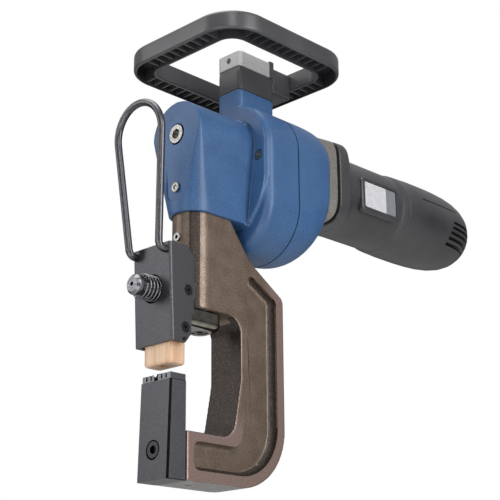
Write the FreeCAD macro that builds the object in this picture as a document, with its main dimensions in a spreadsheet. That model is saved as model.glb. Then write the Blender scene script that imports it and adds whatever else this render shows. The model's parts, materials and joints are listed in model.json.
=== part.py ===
import FreeCAD, Part
import math
import os
import Sketcher
from FreeCAD import Placement, Rotation, Vector

# Electric press-joining tool: a forged C-frame carries a die below and a ram above, which an
# eccentric crank drives through two gear stages from a motor that lies behind the head.
# Frame: +X right, +Y to the rear along the motor, +Z up. The origin is on the flat base face,
# under the axis of the punch.

doc = FreeCAD.newDocument("press_joining_tool")
sheet = doc.addObject("Spreadsheet::Sheet", "Sizes")
sub_parts = []
sheet_rows = 0


# ---------------------------------------------------------------- sizes bound to the sheet

class Size:
    """A length that carries its number and the sheet expression that gives it."""

    def __init__(self, number, text):
        self.number = float(number)
        self.text = text

    def __float__(self):
        return self.number

    def join(self, other, sign, swap=False):
        number, text = number_of(other), text_of(other)
        a, b = (number, self.number) if swap else (self.number, number)
        left, right = (text, self.text) if swap else (self.text, text)
        total = {"+": a + b, "-": a - b, "*": a * b, "/": a / b if b else 0.0}[sign]
        return Size(total, f"({left} {sign} {right})")

    def __add__(self, other):
        return self.join(other, "+")

    def __radd__(self, other):
        return self.join(other, "+", swap=True)

    def __sub__(self, other):
        return self.join(other, "-")

    def __rsub__(self, other):
        return self.join(other, "-", swap=True)

    def __mul__(self, other):
        return self.join(other, "*")

    def __rmul__(self, other):
        return self.join(other, "*", swap=True)

    def __truediv__(self, other):
        return self.join(other, "/")

    def __neg__(self):
        return Size(-self.number, f"(0 - {self.text})")


def number_of(value):
    return float(value)


def text_of(value):
    return value.text if isinstance(value, Size) else repr(float(value))


def size(alias, number):
    """Write one driving dimension into the sheet and give it back as a Size."""
    global sheet_rows
    sheet_rows += 1
    sheet.set(f"A{sheet_rows}", alias)
    sheet.set(f"B{sheet_rows}", str(number))
    sheet.setAlias(f"B{sheet_rows}", alias)
    return Size(number, f"Sizes.{alias}")


def bind(obj, **values):
    """Bind properties of an object to sheet expressions, or set plain numbers."""
    for name, value in values.items():
        if isinstance(value, Size):
            obj.setExpression(name, value.text)
            setattr(obj, name, value.number)
        else:
            setattr(obj, name, value)
    return obj


def place(obj, x, y, z, turn=None):
    obj.Placement = Placement(Vector(number_of(x), number_of(y), number_of(z)), turn or Rotation())
    for axis, value in zip("xyz", (x, y, z)):
        if isinstance(value, Size):
            obj.setExpression(f"Placement.Base.{axis}", value.text)
    return obj


# ---------------------------------------------------------------- shapes

ALONG = {"X": Rotation(Vector(0, 1, 0), 90), "Y": Rotation(Vector(1, 0, 0), -90), "Z": Rotation()}
ROLE = {"XY": "XY_Plane", "XZ": "XZ_Plane", "YZ": "YZ_Plane"}


def box(x0, x1, y0, y1, z0, z1):
    block = doc.addObject("Part::Box", "Block")
    bind(block, Length=x1 - x0, Width=y1 - y0, Height=z1 - z0)
    return place(block, x0, y0, z0)


def rod(axis, x, y, z, radius, length):
    """A round bar that starts at a point and runs along an axis."""
    bar = doc.addObject("Part::Cylinder", "Bar")
    bind(bar, Radius=radius, Height=length)
    return place(bar, x, y, z, ALONG[axis])


def cone(axis, x, y, z, start_radius, end_radius, length):
    taper = doc.addObject("Part::Cone", "Taper")
    bind(taper, Radius1=start_radius, Radius2=end_radius, Height=length)
    return place(taper, x, y, z, ALONG[axis])


def fuse(*pieces):
    joined = doc.addObject("Part::MultiFuse", "Joined")
    joined.Shapes = list(pieces)
    joined.Refine = True
    return joined


def cut(base, *tools):
    whole = doc.addObject("Part::Cut", "Trimmed")
    whole.Base = base
    whole.Tool = tools[0] if len(tools) == 1 else fuse(*tools)
    whole.Refine = True
    return whole


def group(*pieces):
    """Like pieces that stay separate solids of one node."""
    set_of = doc.addObject("Part::Compound", "Group")
    set_of.Links = list(pieces)
    return set_of


def ring(axis, x, y, z, outer, inner, length):
    return cut(rod(axis, x, y, z, outer, length), rod(axis, x, y, z, inner, length))


def outline(sketch, corners):
    """Draw a closed outline of straight lines through the corners."""
    points = [Vector(number_of(corner[0]), number_of(corner[1]), 0) for corner in corners]
    count = len(points)
    for i in range(count):
        sketch.addGeometry(Part.LineSegment(points[i], points[(i + 1) % count]), False)
    for i, corner in enumerate(corners):
        sketch.addConstraint(Sketcher.Constraint("Coincident", (i - 1) % count, 2, i, 1))
        bound(sketch, Sketcher.Constraint("DistanceX", i, 1, points[i].x), corner[0])
        bound(sketch, Sketcher.Constraint("DistanceY", i, 1, points[i].y), corner[1])


def bound(sketch, constraint, value):
    index = sketch.addConstraint(constraint)
    if isinstance(value, Size):
        sketch.setExpression(f"Constraints[{index}]", value.text)


def sketch_on(body, plane, offset, corners, draw=outline):
    sketch = body.newObject("Sketcher::SketchObject", "Outline")
    origin = [o for o in body.Origin.OriginFeatures if o.Role == ROLE[plane]]
    sketch.AttachmentSupport = [(origin[0], "")]
    sketch.MapMode = "FlatFace"
    # the XZ plane's own normal points along -Y, so its offset is turned round
    shift = -offset if plane == "XZ" else offset
    sketch.AttachmentOffset = Placement(Vector(0, 0, number_of(shift)), Rotation())
    if isinstance(shift, Size):
        sketch.setExpression("AttachmentOffset.Base.z", shift.text)
    draw(sketch, corners)
    return sketch


def plate(plane, offset, thickness, corners, draw=outline):
    """A flat outline padded towards the positive axis; a corner's third value is its radius."""
    body = doc.addObject("PartDesign::Body", "Plate")
    pad = body.newObject("PartDesign::Pad", "Pad")
    pad.Profile = sketch_on(body, plane, offset, corners, draw)
    bind(pad, Length=thickness)
    pad.Reversed = plane == "XZ"
    body.Tip = pad
    if draw is outline:
        round_corners(body, corners, lambda edge, corner: runs_through(edge, plane, corner))
    return body


def runs_through(edge, plane, corner):
    """Whether an edge is the one that stands on a corner of a plate's outline."""
    limits = edge.BoundBox
    first, second = plane[0], plane[1]
    for axis, value in ((first, corner[0]), (second, corner[1])):
        low, high = getattr(limits, f"{axis}Min"), getattr(limits, f"{axis}Max")
        if abs(low - number_of(value)) > 0.01 or abs(high - number_of(value)) > 0.01:
            return False
    return True


def turned(axis, x, y, z, profile):
    """A turned piece: the profile gives (place along the axis, radius) round its outline."""
    body = doc.addObject("PartDesign::Body", "Turned")
    if axis == "Y":
        sketch = sketch_on(body, "YZ", 0.0, profile)
        line = "H_Axis"
    else:
        flipped = [(corner[1], corner[0]) + tuple(corner[2:]) for corner in profile]
        sketch = sketch_on(body, "XZ", 0.0, flipped)
        line = "V_Axis"
    turn = body.newObject("PartDesign::Revolution", "Revolution")
    turn.Profile = sketch
    turn.ReferenceAxis = (sketch, [line])
    turn.Angle = 360
    body.Tip = turn
    round_corners(body, profile, lambda edge, corner: circles(edge, axis, corner))
    return place(body, x, y, z)


def circles(edge, axis, corner):
    """Whether an edge is the circle that a corner of a turned profile draws."""
    limits = edge.BoundBox
    low, high = getattr(limits, f"{axis}Min"), getattr(limits, f"{axis}Max")
    along, radius = number_of(corner[0]), number_of(corner[1])
    return abs(low - along) < 0.01 and abs(high - along) < 0.01 and abs(limits.XMax - radius) < 0.01


def round_corners(body, corners, found):
    """Round each corner that has a radius, one fillet for all corners of one radius."""
    radii = {}
    for corner in corners:
        if len(corner) > 2:
            radii.setdefault(text_of(corner[2]), []).append(corner)
    for alike in radii.values():
        soften(body, alike[0][2], lambda edge: any(found(edge, corner) for corner in alike))


def soften(body, radius, chosen):
    """Round the edges of a body that a test chooses."""
    doc.recompute()
    base = body.Tip
    names = [f"Edge{i + 1}" for i, edge in enumerate(base.Shape.Edges) if chosen(edge)]
    fillet = body.newObject("PartDesign::Fillet", "Rounding")
    fillet.Base = (base, names)
    bind(fillet, Radius=radius)
    body.Tip = fillet
    return body


def edge_at(axis, value):
    """A test for edges that lie wholly in the plane where a coordinate has a value."""
    low, high = f"{axis}Min", f"{axis}Max"

    def test(edge):
        limits = edge.BoundBox
        place_of = number_of(value)
        return abs(getattr(limits, low) - place_of) < 0.01 and abs(getattr(limits, high) - place_of) < 0.01
    return test


def socket_screw(x, y, z, head_radius, head_length, shank_radius, shank_length, key_radius):
    """A socket screw along +Y: the head's face is at y and the shank goes on behind it."""
    head = rod("Y", x, y, z, head_radius, head_length)
    shank = rod("Y", x, y + head_length, z, shank_radius, shank_length)
    socket = rod("Y", x, y, z, key_radius, head_length / 2)
    return cut(fuse(head, shank), socket)


def named(label, obj):
    """Keep an object as a sub-part under its own name."""
    obj.Label = label
    sub_parts.append(obj)
    return obj


def shape_part(label, shape):
    feature = doc.addObject("Part::Feature", label)
    feature.Shape = shape
    feature.Placement = Placement(Vector(0, 0, 0), Rotation())
    return named(label, feature)


# ---------------------------------------------------------------- driving sizes

fit = size("running_gap", 0.05)              # radial gap of a shaft in its bush
clear = size("free_gap", 0.5)                # gap round what must not rub

frame_thickness = size("frame_thickness", 35.0)
frame_back = size("frame_back", 117.5)
arm_front = size("arm_front", 9.0)
arm_top = size("arm_top", 38.0)
throat_depth = size("throat_depth", 67.0)
throat_top = size("throat_top", 136.0)
column_top = size("column_top", 261.0)
column_front = size("column_front", 13.5)
column_rear = size("column_rear", 56.0)
base_radius = size("base_radius", 52.0)
pocket_depth = size("pocket_depth", 5.0)
rim_width = size("rim_width", 9.0)

ram_y = size("ram_axis_y", 38.0)
ram_radius = size("ram_radius", 11.0)
bush_wall = size("bush_wall", 3.0)
foot_top = size("foot_top", 134.5)
foot_height = size("foot_height", 13.0)
foot_width = size("foot_width", 29.0)

crank_z = size("crank_axis_z", 284.5)
crank_throw = size("crank_throw", 6.0)
crank_pin_radius = size("crank_pin_radius", 5.0)
roller_radius = size("roller_radius", 8.0)
yoke_front = size("yoke_front", 30.2)
yoke_depth = size("yoke_depth", 15.6)
yoke_play = size("yoke_play", 1.5)           # room that the straightened crank motion needs
journal_radius = size("journal_radius", 8.5)

head_front = size("head_front", 10.5)
head_radius = size("head_radius", 28.5)
head_centre_z = size("head_centre_z", 284.5)
head_bottom = size("head_bottom", 216.0)
head_skirt = size("head_skirt", 2.2)
head_wall = size("head_wall", 3.4)
head_rear = size("head_rear", 71.0)
flange_screw_x = size("flange_screw_x", 35.0)
flange_screw_z = size("flange_screw_z", 273.5)

gearbox_radius = size("gearbox_radius", 44.0)
gearbox_wall = size("gearbox_wall", 4.0)
gearbox_low_z = size("gearbox_low_z", 237.25)
gearbox_split = size("gearbox_split", 111.0)
gearbox_rear = size("gearbox_rear", 158.0)
gearbox_round = size("gearbox_round", 19.0)
gasket = size("gasket_thickness", 0.6)
plate_front = size("bearing_plate_front", 78.0)
plate_rear = size("bearing_plate_rear", 83.0)
cover_room = size("cover_room", 130.0)

tower_half = size("tower_half", 13.7)
tower_depth = size("tower_depth", 43.0)
tower_low = size("tower_low", 300.0)
tower_top = size("tower_top", 341.6)
tower_round = size("tower_round", 4.0)
post_top = size("post_top", 363.8)
block_top = size("block_top", 377.9)

motor_z = size("motor_axis_z", 278.75)
adapter_end = size("adapter_end", 167.0)
adapter_radius = size("adapter_radius", 39.5)
motor_front = size("motor_front", 171.0)
motor_radius = size("motor_radius", 36.5)
motor_split = size("motor_split", 272.0)
motor_rear = size("motor_rear", 385.0)
motor_bore = size("motor_bore", 33.2)
spigot_radius = size("spigot_radius", 33.0)

ring_half = size("ring_half_width", 70.6)
ring_front = size("ring_front", 5.2)
ring_rear = size("ring_rear", 157.0)
ring_width = size("ring_bar_width", 20.4)
ring_height = size("ring_bar_height", 16.8)
ring_bottom = size("ring_bottom", 360.7)
ring_corner = size("ring_corner", 34.0)
ring_wall = size("ring_wall", 2.6)
ring_roof = size("ring_roof", 3.0)
rib_pitch = size("rib_pitch", 9.0)
rib_thickness = size("rib_thickness", 1.4)
bridge_half = size("bridge_half_width", 12.0)

holder_height = size("die_holder_height", 75.6)
holder_front = size("die_holder_front", 10.6)
holder_taper = size("die_holder_taper", 2.6)
holder_screw_z = size("die_screw_z", 23.0)
die_top = size("die_top", 81.7)

bracket_half = size("bracket_half", 21.6)
bracket_low = size("bracket_low", 103.8)
bracket_high = size("bracket_high", 181.8)
bracket_front_low = size("bracket_front_low", 10.8)
bracket_front_high = size("bracket_front_high", 14.4)
bracket_rear = size("bracket_rear", 11.3)
bracket_side = size("bracket_side", 3.5)
bracket_face = size("bracket_face", 2.5)
bolt_z = size("bolt_z", 147.5)
punch_radius = size("punch_radius", 6.0)
punch_tip_radius = size("punch_tip_radius", 4.0)
punch_tip_z = size("punch_tip_z", 94.2)
stripper_low = size("stripper_low", 88.0)
stripper_height = size("stripper_height", 26.0)
stripper_half = size("stripper_half_width", 15.3)
stripper_front = size("stripper_front", -8.0)
stripper_rear = size("stripper_rear", 10.0)

base_hole_y = size("base_hole_y", 26.8)
base_hole_radius = size("base_hole_radius", 2.5)
base_hole_depth = size("base_hole_depth", 12.0)
head_screw_z = size("head_screw_z", 238.0)
column_pin_z = size("column_pin_z", 196.0)
yoke_wall = size("yoke_wall", 4.0)
holder_rear = size("punch_holder_rear", 10.0)
bail_radius = size("bail_radius", 3.0)
bail_foot_x = size("bail_foot_x", 17.0)
bail_foot_z = size("bail_foot_z", 176.0)
bail_plane_y = size("bail_plane_y", -21.8)
bail_lean = size("bail_lean_degrees", 4.1)
bail_leg = size("bail_leg", 94.0)
bail_top_x = size("bail_top_x", 26.0)
bail_bend = size("bail_bend_radius", 6.0)
bolt_radius = size("bolt_radius", 4.5)
holder_low = size("punch_holder_low", 141.0)
spring_radius = size("stripper_spring_radius", 8.5)
spring_inner = size("stripper_spring_inner", 6.8)

bolt_head_y = size("bolt_head_y", -33.5)
bolt_head_radius = size("bolt_head_radius", 8.25)
coil_outer = size("coil_outer", 10.4)
coil_inner = size("coil_inner", 7.6)
first_module = size("first_stage_module", 1.0)
second_module = size("second_stage_module", 1.5)
counter_radius = size("countershaft_radius", 6.0)
rotor_shaft_radius = size("rotor_shaft_radius", 4.0)
crank_gear_y = size("crank_gear_y", 84.0)
crank_gear_width = size("crank_gear_width", 12.0)
counter_gear_y = size("counter_gear_y", 104.0)
counter_gear_width = size("counter_gear_width", 8.0)
flange_radius = size("motor_flange_radius", 41.0)
label_y = size("label_y", 206.0)
label_length = size("label_length", 44.0)
label_height = size("label_height", 24.0)
slider_y = size("slider_y", 228.0)
slider_length = size("slider_length", 18.0)
slider_travel = size("slider_travel", 6.0)
gland_bore = size("gland_bore", 5.0)
label_z = size("label_low_z", 262.0)
stator_y = size("stator_y", 196.0)
stator_length = size("stator_length", 40.0)
rotor_radius = size("rotor_radius", 22.4)
air_gap = size("air_gap", 0.5)

half = frame_thickness / 2
foot_low = foot_top - foot_height


# ---------------------------------------------------------------- C-frame

def frame_outline():
    """Side outline of the C: arm below, throat, spine with a large heel, sloped shoulder."""
    return [
        (ram_y, column_top - 45.0), (ram_y, throat_top),
        (throat_depth, throat_top, 14.0), (throat_depth, throat_top - 51.0, 60.0),
        (throat_depth - 9.0, arm_top, 14.0), (arm_front, arm_top),
        (arm_front, 0.0), (frame_back, 0.0, base_radius),
        (frame_back, 160.5, 8.0), (78.0, 186.0, 20.0), (column_rear, column_top - 45.0),
    ]


def pocket_outline():
    """Recess in each flank of the C, which leaves a rim along every outer edge."""
    inner = throat_depth + rim_width - 1.5
    outer = frame_back - rim_width
    return [
        (16.0, rim_width, 3.0), (outer, rim_width, base_radius - rim_width),
        (outer, 157.5, 3.0), (inner, 177.0, 3.0), (inner, 84.0, 50.0),
        (inner - 8.0, arm_top - 7.0, 10.0), (16.0, arm_top - 7.0, 3.0),
    ]


def c_frame():
    spine = plate("YZ", -half, frame_thickness, frame_outline())
    nose_y = column_front + half
    column_height = column_top - throat_top
    nose = rod("Z", 0.0, nose_y, throat_top, half, column_height)
    column = box(-half, half, nose_y, column_rear, throat_top, column_top)
    body = fuse(spine, nose, column)
    bush_bore = rod("Z", 0.0, ram_y, throat_top, ram_radius + bush_wall, column_height)
    right = plate("YZ", half - pocket_depth, pocket_depth, pocket_outline())
    left = plate("YZ", -half, pocket_depth, pocket_outline())
    holder_thread = rod("Y", 0.0, arm_front, holder_screw_z, 4.0, 22.0)
    dowels = [rod("Y", side * 8.5, arm_front, 10.5, 2.5, 9.0) for side in (-1, 1)]
    base_thread = rod("Z", 0.0, base_hole_y, 0.0, base_hole_radius, base_hole_depth)
    head_thread = rod("Y", 0.0, column_front, head_screw_z, 2.5, 9.0)
    pin_hole = rod("Y", 0.0, column_front - 1.0, column_pin_z, 3.5, 9.0)
    return cut(body, bush_bore, right, left, holder_thread, *dowels, base_thread, head_thread, pin_hole)


named("c_frame", c_frame())
named("ram_bush", ring("Z", 0.0, ram_y, throat_top + 2.0, ram_radius + bush_wall, ram_radius + fit,
                       column_top - throat_top - 4.0))
named("column_pin", ring("Y", 0.0, column_front - 1.5, column_pin_z, 3.5, 1.6, 9.5))

# ---------------------------------------------------------------- die holder and die

def die_holder():
    """Steel block bolted to the front of the arm; its front face leans back towards the top."""
    rear = arm_front
    top_front = -(holder_front - holder_taper)
    block = plate("YZ", -half, frame_thickness, [
        (-holder_front, 0.0), (rear, 0.0), (rear, holder_height), (top_front, holder_height)])
    softened = soften(block, 1.2, lambda edge: edge.Length > 0.9 * holder_height.number)
    screw_y = -holder_front + 8.8
    counterbore = rod("Y", 0.0, -holder_front - 2.0, holder_screw_z, 7.5, 10.8)
    shank_hole = rod("Y", 0.0, screw_y, holder_screw_z, 4.2, arm_front - screw_y)
    dowels = [rod("Y", side * 8.5, arm_front - 8.0, 10.5, 2.5, 8.0) for side in (-1, 1)]
    anvil_bore = rod("Z", 0.0, 0.0, holder_height - 14.0, 5.0, 14.0)
    return cut(softened, counterbore, shank_hole, *dowels, anvil_bore)


named("die_holder", die_holder())
named("die_holder_screw", socket_screw(0.0, -holder_front + 0.8, holder_screw_z, 6.5, 8.0, 4.0, 28.0, 3.0))
named("die_dowels", group(*[rod("Y", side * 8.5, arm_front - 7.5, 10.5, 2.5, 16.0) for side in (-1, 1)]))

die_low = holder_height
die_height = die_top - die_low
block_height = die_height - 0.9
die_block = box(-15.9, 15.9, -7.0, 8.6, die_low, die_low + block_height)
die_bore = rod("Z", 0.0, 0.0, die_low, 7.5, block_height)
slot_places = (-11.0, -6.0, 6.0, 11.0)
slots = [box(x - 0.8, x + 0.8, -7.0, -4.5, die_low + 1.0, die_low + block_height) for x in slot_places]
named("die_block", cut(die_block, die_bore, *slots))
named("die_anvil", rod("Z", 0.0, 0.0, die_low - 14.0, 5.0, die_height + 14.0))
die_plates = [cut(box(side * 6.2 - 1.1, side * 6.2 + 1.1, -1.4, 1.4, die_low, die_top - 0.3),
                  rod("Z", 0.0, 0.0, die_low, 5.0, die_height)) for side in (-1, 1)]
named("die_plates", group(*die_plates))


# ---------------------------------------------------------------- ram, its foot and the punch bracket

yoke_half = crank_throw + roller_radius + 0.5
pin_top_z = crank_z + crank_throw
window_low = pin_top_z - roller_radius - yoke_play
window_high = pin_top_z + roller_radius + yoke_play


def ram():
    """Round ram with a yoke head; the crank roller pushes in the yoke's cross window."""
    low = window_low - 6.0
    high = window_high + yoke_wall + 1.0
    outer = yoke_half + yoke_wall
    head = plate("XZ", yoke_front, yoke_depth, [
        (-outer, low, 2.0), (outer, low, 2.0), (outer, high, 9.0), (-outer, high, 9.0)])
    window = plate("XZ", yoke_front, yoke_depth, [
        (-yoke_half, window_low, 2.0), (yoke_half, window_low, 2.0),
        (yoke_half, window_high, 2.0), (-yoke_half, window_high, 2.0)])
    neck_low = column_top + 1.0
    shank = rod("Z", 0.0, ram_y, foot_top, ram_radius, neck_low - foot_top)
    neck = rod("Z", 0.0, ram_y, neck_low, yoke_depth / 2, low - neck_low + 1.0)
    foot_thread = rod("Z", 0.0, ram_y, foot_top, 4.0, 14.0)
    return cut(fuse(head, shank, neck), window, foot_thread)


def ram_foot():
    """Polished tongue under the ram that carries the punch bracket in front of the column."""
    tongue = box(-foot_width / 2, foot_width / 2, holder_rear, ram_y, foot_low, foot_top)
    heel = rod("Z", 0.0, ram_y, foot_low, foot_width / 2, foot_height)
    screw_hole = rod("Z", 0.0, ram_y, foot_low, 4.2, foot_height)
    screw_seat = rod("Z", 0.0, ram_y, foot_low, 7.0, 5.0)
    return cut(fuse(tongue, heel), screw_hole, screw_seat)


named("ram", ram())
named("ram_foot", ram_foot())
foot_screw_head = rod("Z", 0.0, ram_y, foot_low + 0.5, 6.5, 4.5)
foot_screw_shank = rod("Z", 0.0, ram_y, foot_low + 5.0, 4.0, 20.0)
foot_screw_socket = rod("Z", 0.0, ram_y, foot_low + 0.5, 2.5, 3.0)
named("foot_screw", cut(fuse(foot_screw_head, foot_screw_shank), foot_screw_socket))


def bracket_rear_line():
    """Rear edge of a bracket cheek, with a lobe round each screw."""
    lobe = bracket_rear + 1.7
    return [
        (3.0, bracket_low), (9.0, bracket_low + 8.0, 6.0), (9.0, 126.0, 3.0),
        (bracket_rear, 130.5, 3.0), (bracket_rear, 138.5), (lobe, 142.0), (lobe, 151.0),
        (bracket_rear, 154.5), (bracket_rear, bracket_high - 8.0), (bracket_rear - 8.0, bracket_high),
    ]


def torx_sink(side, y, z):
    """Countersink of a cheek screw, as the cone that its head fills."""
    if side > 0:
        return cone("X", bracket_half - 2.0, y, z, 2.5, 4.5, 2.0)
    return cone("X", -bracket_half, y, z, 4.5, 2.5, 2.0)


def punch_bracket():
    """Bent plate with two cheeks that closes round the punch holder."""
    outer = plate("YZ", -bracket_half, bracket_half * 2, [
        (-bracket_front_low, bracket_low)] + bracket_rear_line() + [(-bracket_front_high, bracket_high)])
    rounded = soften(outer, 2.0, lambda edge: edge.BoundBox.YMin < -10.0 and edge.BoundBox.ZLength > 60.0)
    inside = bracket_half - bracket_side
    hollow = plate("YZ", -inside, inside * 2, [
        (bracket_face - bracket_front_low, bracket_low - 1.0), (40.0, bracket_low - 1.0),
        (40.0, bracket_high + 1.0), (bracket_face - bracket_front_high, bracket_high + 1.0)])
    bolt_hole = rod("Y", 0.0, -20.0, bolt_z, 11.5, 14.0)
    bail_holes = [rod("Y", side * bail_foot_x, -20.0, bail_foot_z, bail_radius, 14.0) for side in (-1, 1)]
    torx = [rod("X", -bracket_half - 1.0, y, z, 2.5, bracket_half * 2 + 2.0) for y, z in torx_places]
    sinks = [torx_sink(side, y, z) for y, z in torx_places for side in (-1, 1)]
    pin_hole = rod("X", -bracket_half, 1.5, bracket_low + 2.6, 1.3, bracket_half * 2)
    return cut(rounded, hollow, bolt_hole, *bail_holes, *torx, *sinks, pin_hole)


torx_places = [(5.7, 145.9), (2.9, 115.9)]

named("punch_bracket", punch_bracket())

inside = bracket_half - bracket_side


def punch_holder():
    """Steel block between the cheeks: bore for the punch, legs beside the stripper."""
    block = box(-inside, inside, -8.5, holder_rear, holder_low, bracket_high - 6.0)
    web = box(-inside, inside, 4.0, holder_rear, foot_low, holder_low)
    leg_inner = stripper_half + clear
    legs = [
        box(-inside, -leg_inner, -6.0, 9.0, 108.0, holder_low),
        box(leg_inner, inside, -6.0, 9.0, 108.0, holder_low)]
    punch_bore = rod("Z", 0.0, 0.0, holder_low, punch_radius, 28.0)
    bolt_bore = rod("Y", 0.0, -12.0, bolt_z, bolt_radius + fit, 12.0)
    spring_room = rod("Z", 0.0, 0.0, foot_low, spring_radius + clear, holder_low - foot_low)
    threads = [rod("X", start, y, z, 2.5, 10.0) for y, z in torx_places for start in (-inside, inside - 10.0)]
    return cut(fuse(block, web, *legs), punch_bore, bolt_bore, spring_room, *threads)


def torx_screws():
    """Four countersunk screws that hold the cheeks to the punch holder."""
    screws = []
    for y, z in torx_places:
        # the lower screws end in the thin legs, so they stay clear of the stripper
        length = bracket_side + 2.0 if z < 120.0 else bracket_side + 8.0
        left = fuse(torx_sink(-1, y, z), rod("X", -bracket_half + 0.4, y, z, 2.5, length - 0.4))
        right = fuse(torx_sink(1, y, z), rod("X", bracket_half - length, y, z, 2.5, length - 0.4))
        screws.append(cut(left, rod("X", -bracket_half, y, z, 1.4, 1.6)))
        screws.append(cut(right, rod("X", bracket_half - 1.6, y, z, 1.4, 1.6)))
    return group(*screws)


named("punch_holder", punch_holder())
named("torx_screws", torx_screws())
shank_low = 130.0
named("punch", fuse(rod("Z", 0.0, 0.0, shank_low, punch_radius, holder_low + 28.0 - shank_low),
                    rod("Z", 0.0, 0.0, punch_tip_z, punch_tip_radius, shank_low - punch_tip_z)))
named("bracket_pins", group(*[rod("X", start, 1.5, bracket_low + 2.6, 1.3, bracket_side + 1.0)
                              for start in (-bracket_half - 1.0, inside)]))
named("stripper_spring", ring("Z", 0.0, 0.0, stripper_low + stripper_height, spring_radius, spring_inner,
                              holder_low - stripper_low - stripper_height))


def stripper_block():
    """Cast polyurethane block that holds the sheets flat while the punch goes through it."""
    block = plate("XY", stripper_low, stripper_height, [
        (-stripper_half, stripper_front, 2.5), (stripper_half, stripper_front, 2.5),
        (stripper_half, stripper_rear, 2.5), (-stripper_half, stripper_rear, 2.5)])
    soft = soften(block, 1.5, edge_at("Z", stripper_low))
    return cut(soft, rod("Z", 0.0, 0.0, stripper_low, punch_tip_radius + 0.4, stripper_height))


named("stripper_block", stripper_block())


def release_bolt():
    """Turned steel bolt with a chamfered head, pressed in against its spring."""
    profile = [
        (bolt_head_y, 0.0), (bolt_head_y, 2.0), (bolt_head_y + 1.0, 2.0), (bolt_head_y + 1.0, 2.4),
        (bolt_head_y, 2.4), (bolt_head_y, bolt_head_radius - 2.0), (bolt_head_y + 2.0, bolt_head_radius),
        (bolt_head_y + 7.0, bolt_head_radius), (bolt_head_y + 7.0, coil_inner - 0.6),
        (-13.5, coil_inner - 0.6), (-13.5, bolt_radius), (-11.6, bolt_radius), (-11.6, 0.0)]
    return turned("Y", 0.0, 0.0, bolt_z, profile)


named("release_bolt", release_bolt())
named("bolt_spring", ring("Y", 0.0, bolt_head_y + 7.0, bolt_z, coil_outer, coil_inner, 17.0))


def wire_bail():
    """Bent round wire: two feet in the bracket's face and a loop that leans forward above it."""
    low = Vector(bail_foot_x.number, bail_plane_y.number, bail_foot_z.number)
    foot = Vector(low.x, -13.0, low.z)
    up = Vector(0, -math.sin(math.radians(bail_lean.number)), math.cos(math.radians(bail_lean.number)))
    top = Vector(bail_top_x.number, low.y, low.z) + up * bail_leg.number
    rise = (top - low).normalize()
    first = (foot - low).normalize()
    angle = first.getAngle(rise) / 2
    inward = (first + rise).normalize()
    bend_in = low + first * (bail_bend.number / math.tan(angle))
    bend_out = low + rise * (bail_bend.number / math.tan(angle))
    bend_middle = low + inward * (bail_bend.number / math.sin(angle) - bail_bend.number)
    spread = math.atan((top.x - low.x) / bail_leg.number)
    arch = top.x / math.cos(spread)
    apex = Vector(0, top.y, top.z) + up * (arch * math.sin(spread) + arch)

    def mirrored(point):
        return Vector(-point.x, point.y, point.z)

    edges = [
        Part.LineSegment(foot, bend_in), Part.Arc(bend_in, bend_middle, bend_out),
        Part.LineSegment(bend_out, top), Part.Arc(top, apex, mirrored(top)),
        Part.LineSegment(mirrored(top), mirrored(bend_out)),
        Part.Arc(mirrored(bend_out), mirrored(bend_middle), mirrored(bend_in)),
        Part.LineSegment(mirrored(bend_in), mirrored(foot))]
    path = Part.Wire([edge.toShape() for edge in edges])
    section = Part.Wire(Part.makeCircle(bail_radius.number, foot, Vector(0, 1, 0)))
    return path.makePipeShell([section], True, False, 1)


shape_part("wire_bail", wire_bail())


# ---------------------------------------------------------------- head, gear housing and its cover

def slot_outline(sketch, slot):
    """Draw a tall slot: a half circle above, one below and two straight flanks."""
    radius, low, high = slot
    reach = number_of(radius)
    bottom, top = Vector(0, number_of(low), 0), Vector(0, number_of(high), 0)
    out, up = Vector(reach, 0, 0), Vector(0, reach, 0)
    sketch.addGeometry(Part.Arc(top + out, top + up, top - out), False)
    sketch.addGeometry(Part.LineSegment(top - out, bottom - out), False)
    sketch.addGeometry(Part.Arc(bottom - out, bottom - up, bottom + out), False)
    sketch.addGeometry(Part.LineSegment(bottom + out, top + out), False)
    for i in range(4):
        sketch.addConstraint(Sketcher.Constraint("Coincident", i, 2, (i + 1) % 4, 1))
    for arc, centre, height in ((0, top, high), (2, bottom, low)):
        sketch.addConstraint(Sketcher.Constraint("PointOnObject", arc, 3, -2))
        bound(sketch, Sketcher.Constraint("DistanceY", arc, 3, centre.y), height)
        bound(sketch, Sketcher.Constraint("Radius", arc, reach), radius)
        for end in (1, 2):
            bound(sketch, Sketcher.Constraint("DistanceY", arc, end, centre.y), height)


def stadium(offset, thickness, inset):
    """Tall slot outline round the crank axis above and the countershaft axis below."""
    return plate("XZ", offset, thickness, (gearbox_radius - inset, gearbox_low_z, crank_z), slot_outline)


def head_shape():
    """Arched head over the column, flat in front and narrowing down to the skirt."""
    depth = head_rear - head_front
    arch = rod("Y", 0.0, head_front, head_centre_z, head_radius, depth)
    skirt = half + head_skirt
    waist = head_bottom + 14.0
    slope = (head_radius - skirt) / (head_centre_z - head_bottom)
    waist_half = skirt + slope * 14.0
    taper = plate("XZ", head_front, depth, [
        (-waist_half, waist), (waist_half, waist),
        (head_radius, head_centre_z), (-head_radius, head_centre_z)])
    nose_y = column_front + half
    nose = rod("Z", 0.0, nose_y, head_bottom, skirt, 16.0)
    cheek = box(-skirt, skirt, nose_y, head_rear, head_bottom, waist + 2.0)
    return [arch, taper, nose, cheek]


def tower(low, high):
    """A stretch of the rounded rectangular tower under the handle."""
    rear = head_rear + tower_depth
    return plate("XY", low, high - low, [
        (-tower_half, head_rear, tower_round), (tower_half, head_rear, tower_round),
        (tower_half, rear, tower_round), (-tower_half, rear, tower_round)])


def bearing_bores(start, length):
    return [rod("Y", 0.0, start, crank_z, 15.0, length), rod("Y", 0.0, start, gearbox_low_z, 11.0, length)]


flange_screw_places = [(-flange_screw_x, flange_screw_z), (flange_screw_x, flange_screw_z)]


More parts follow.
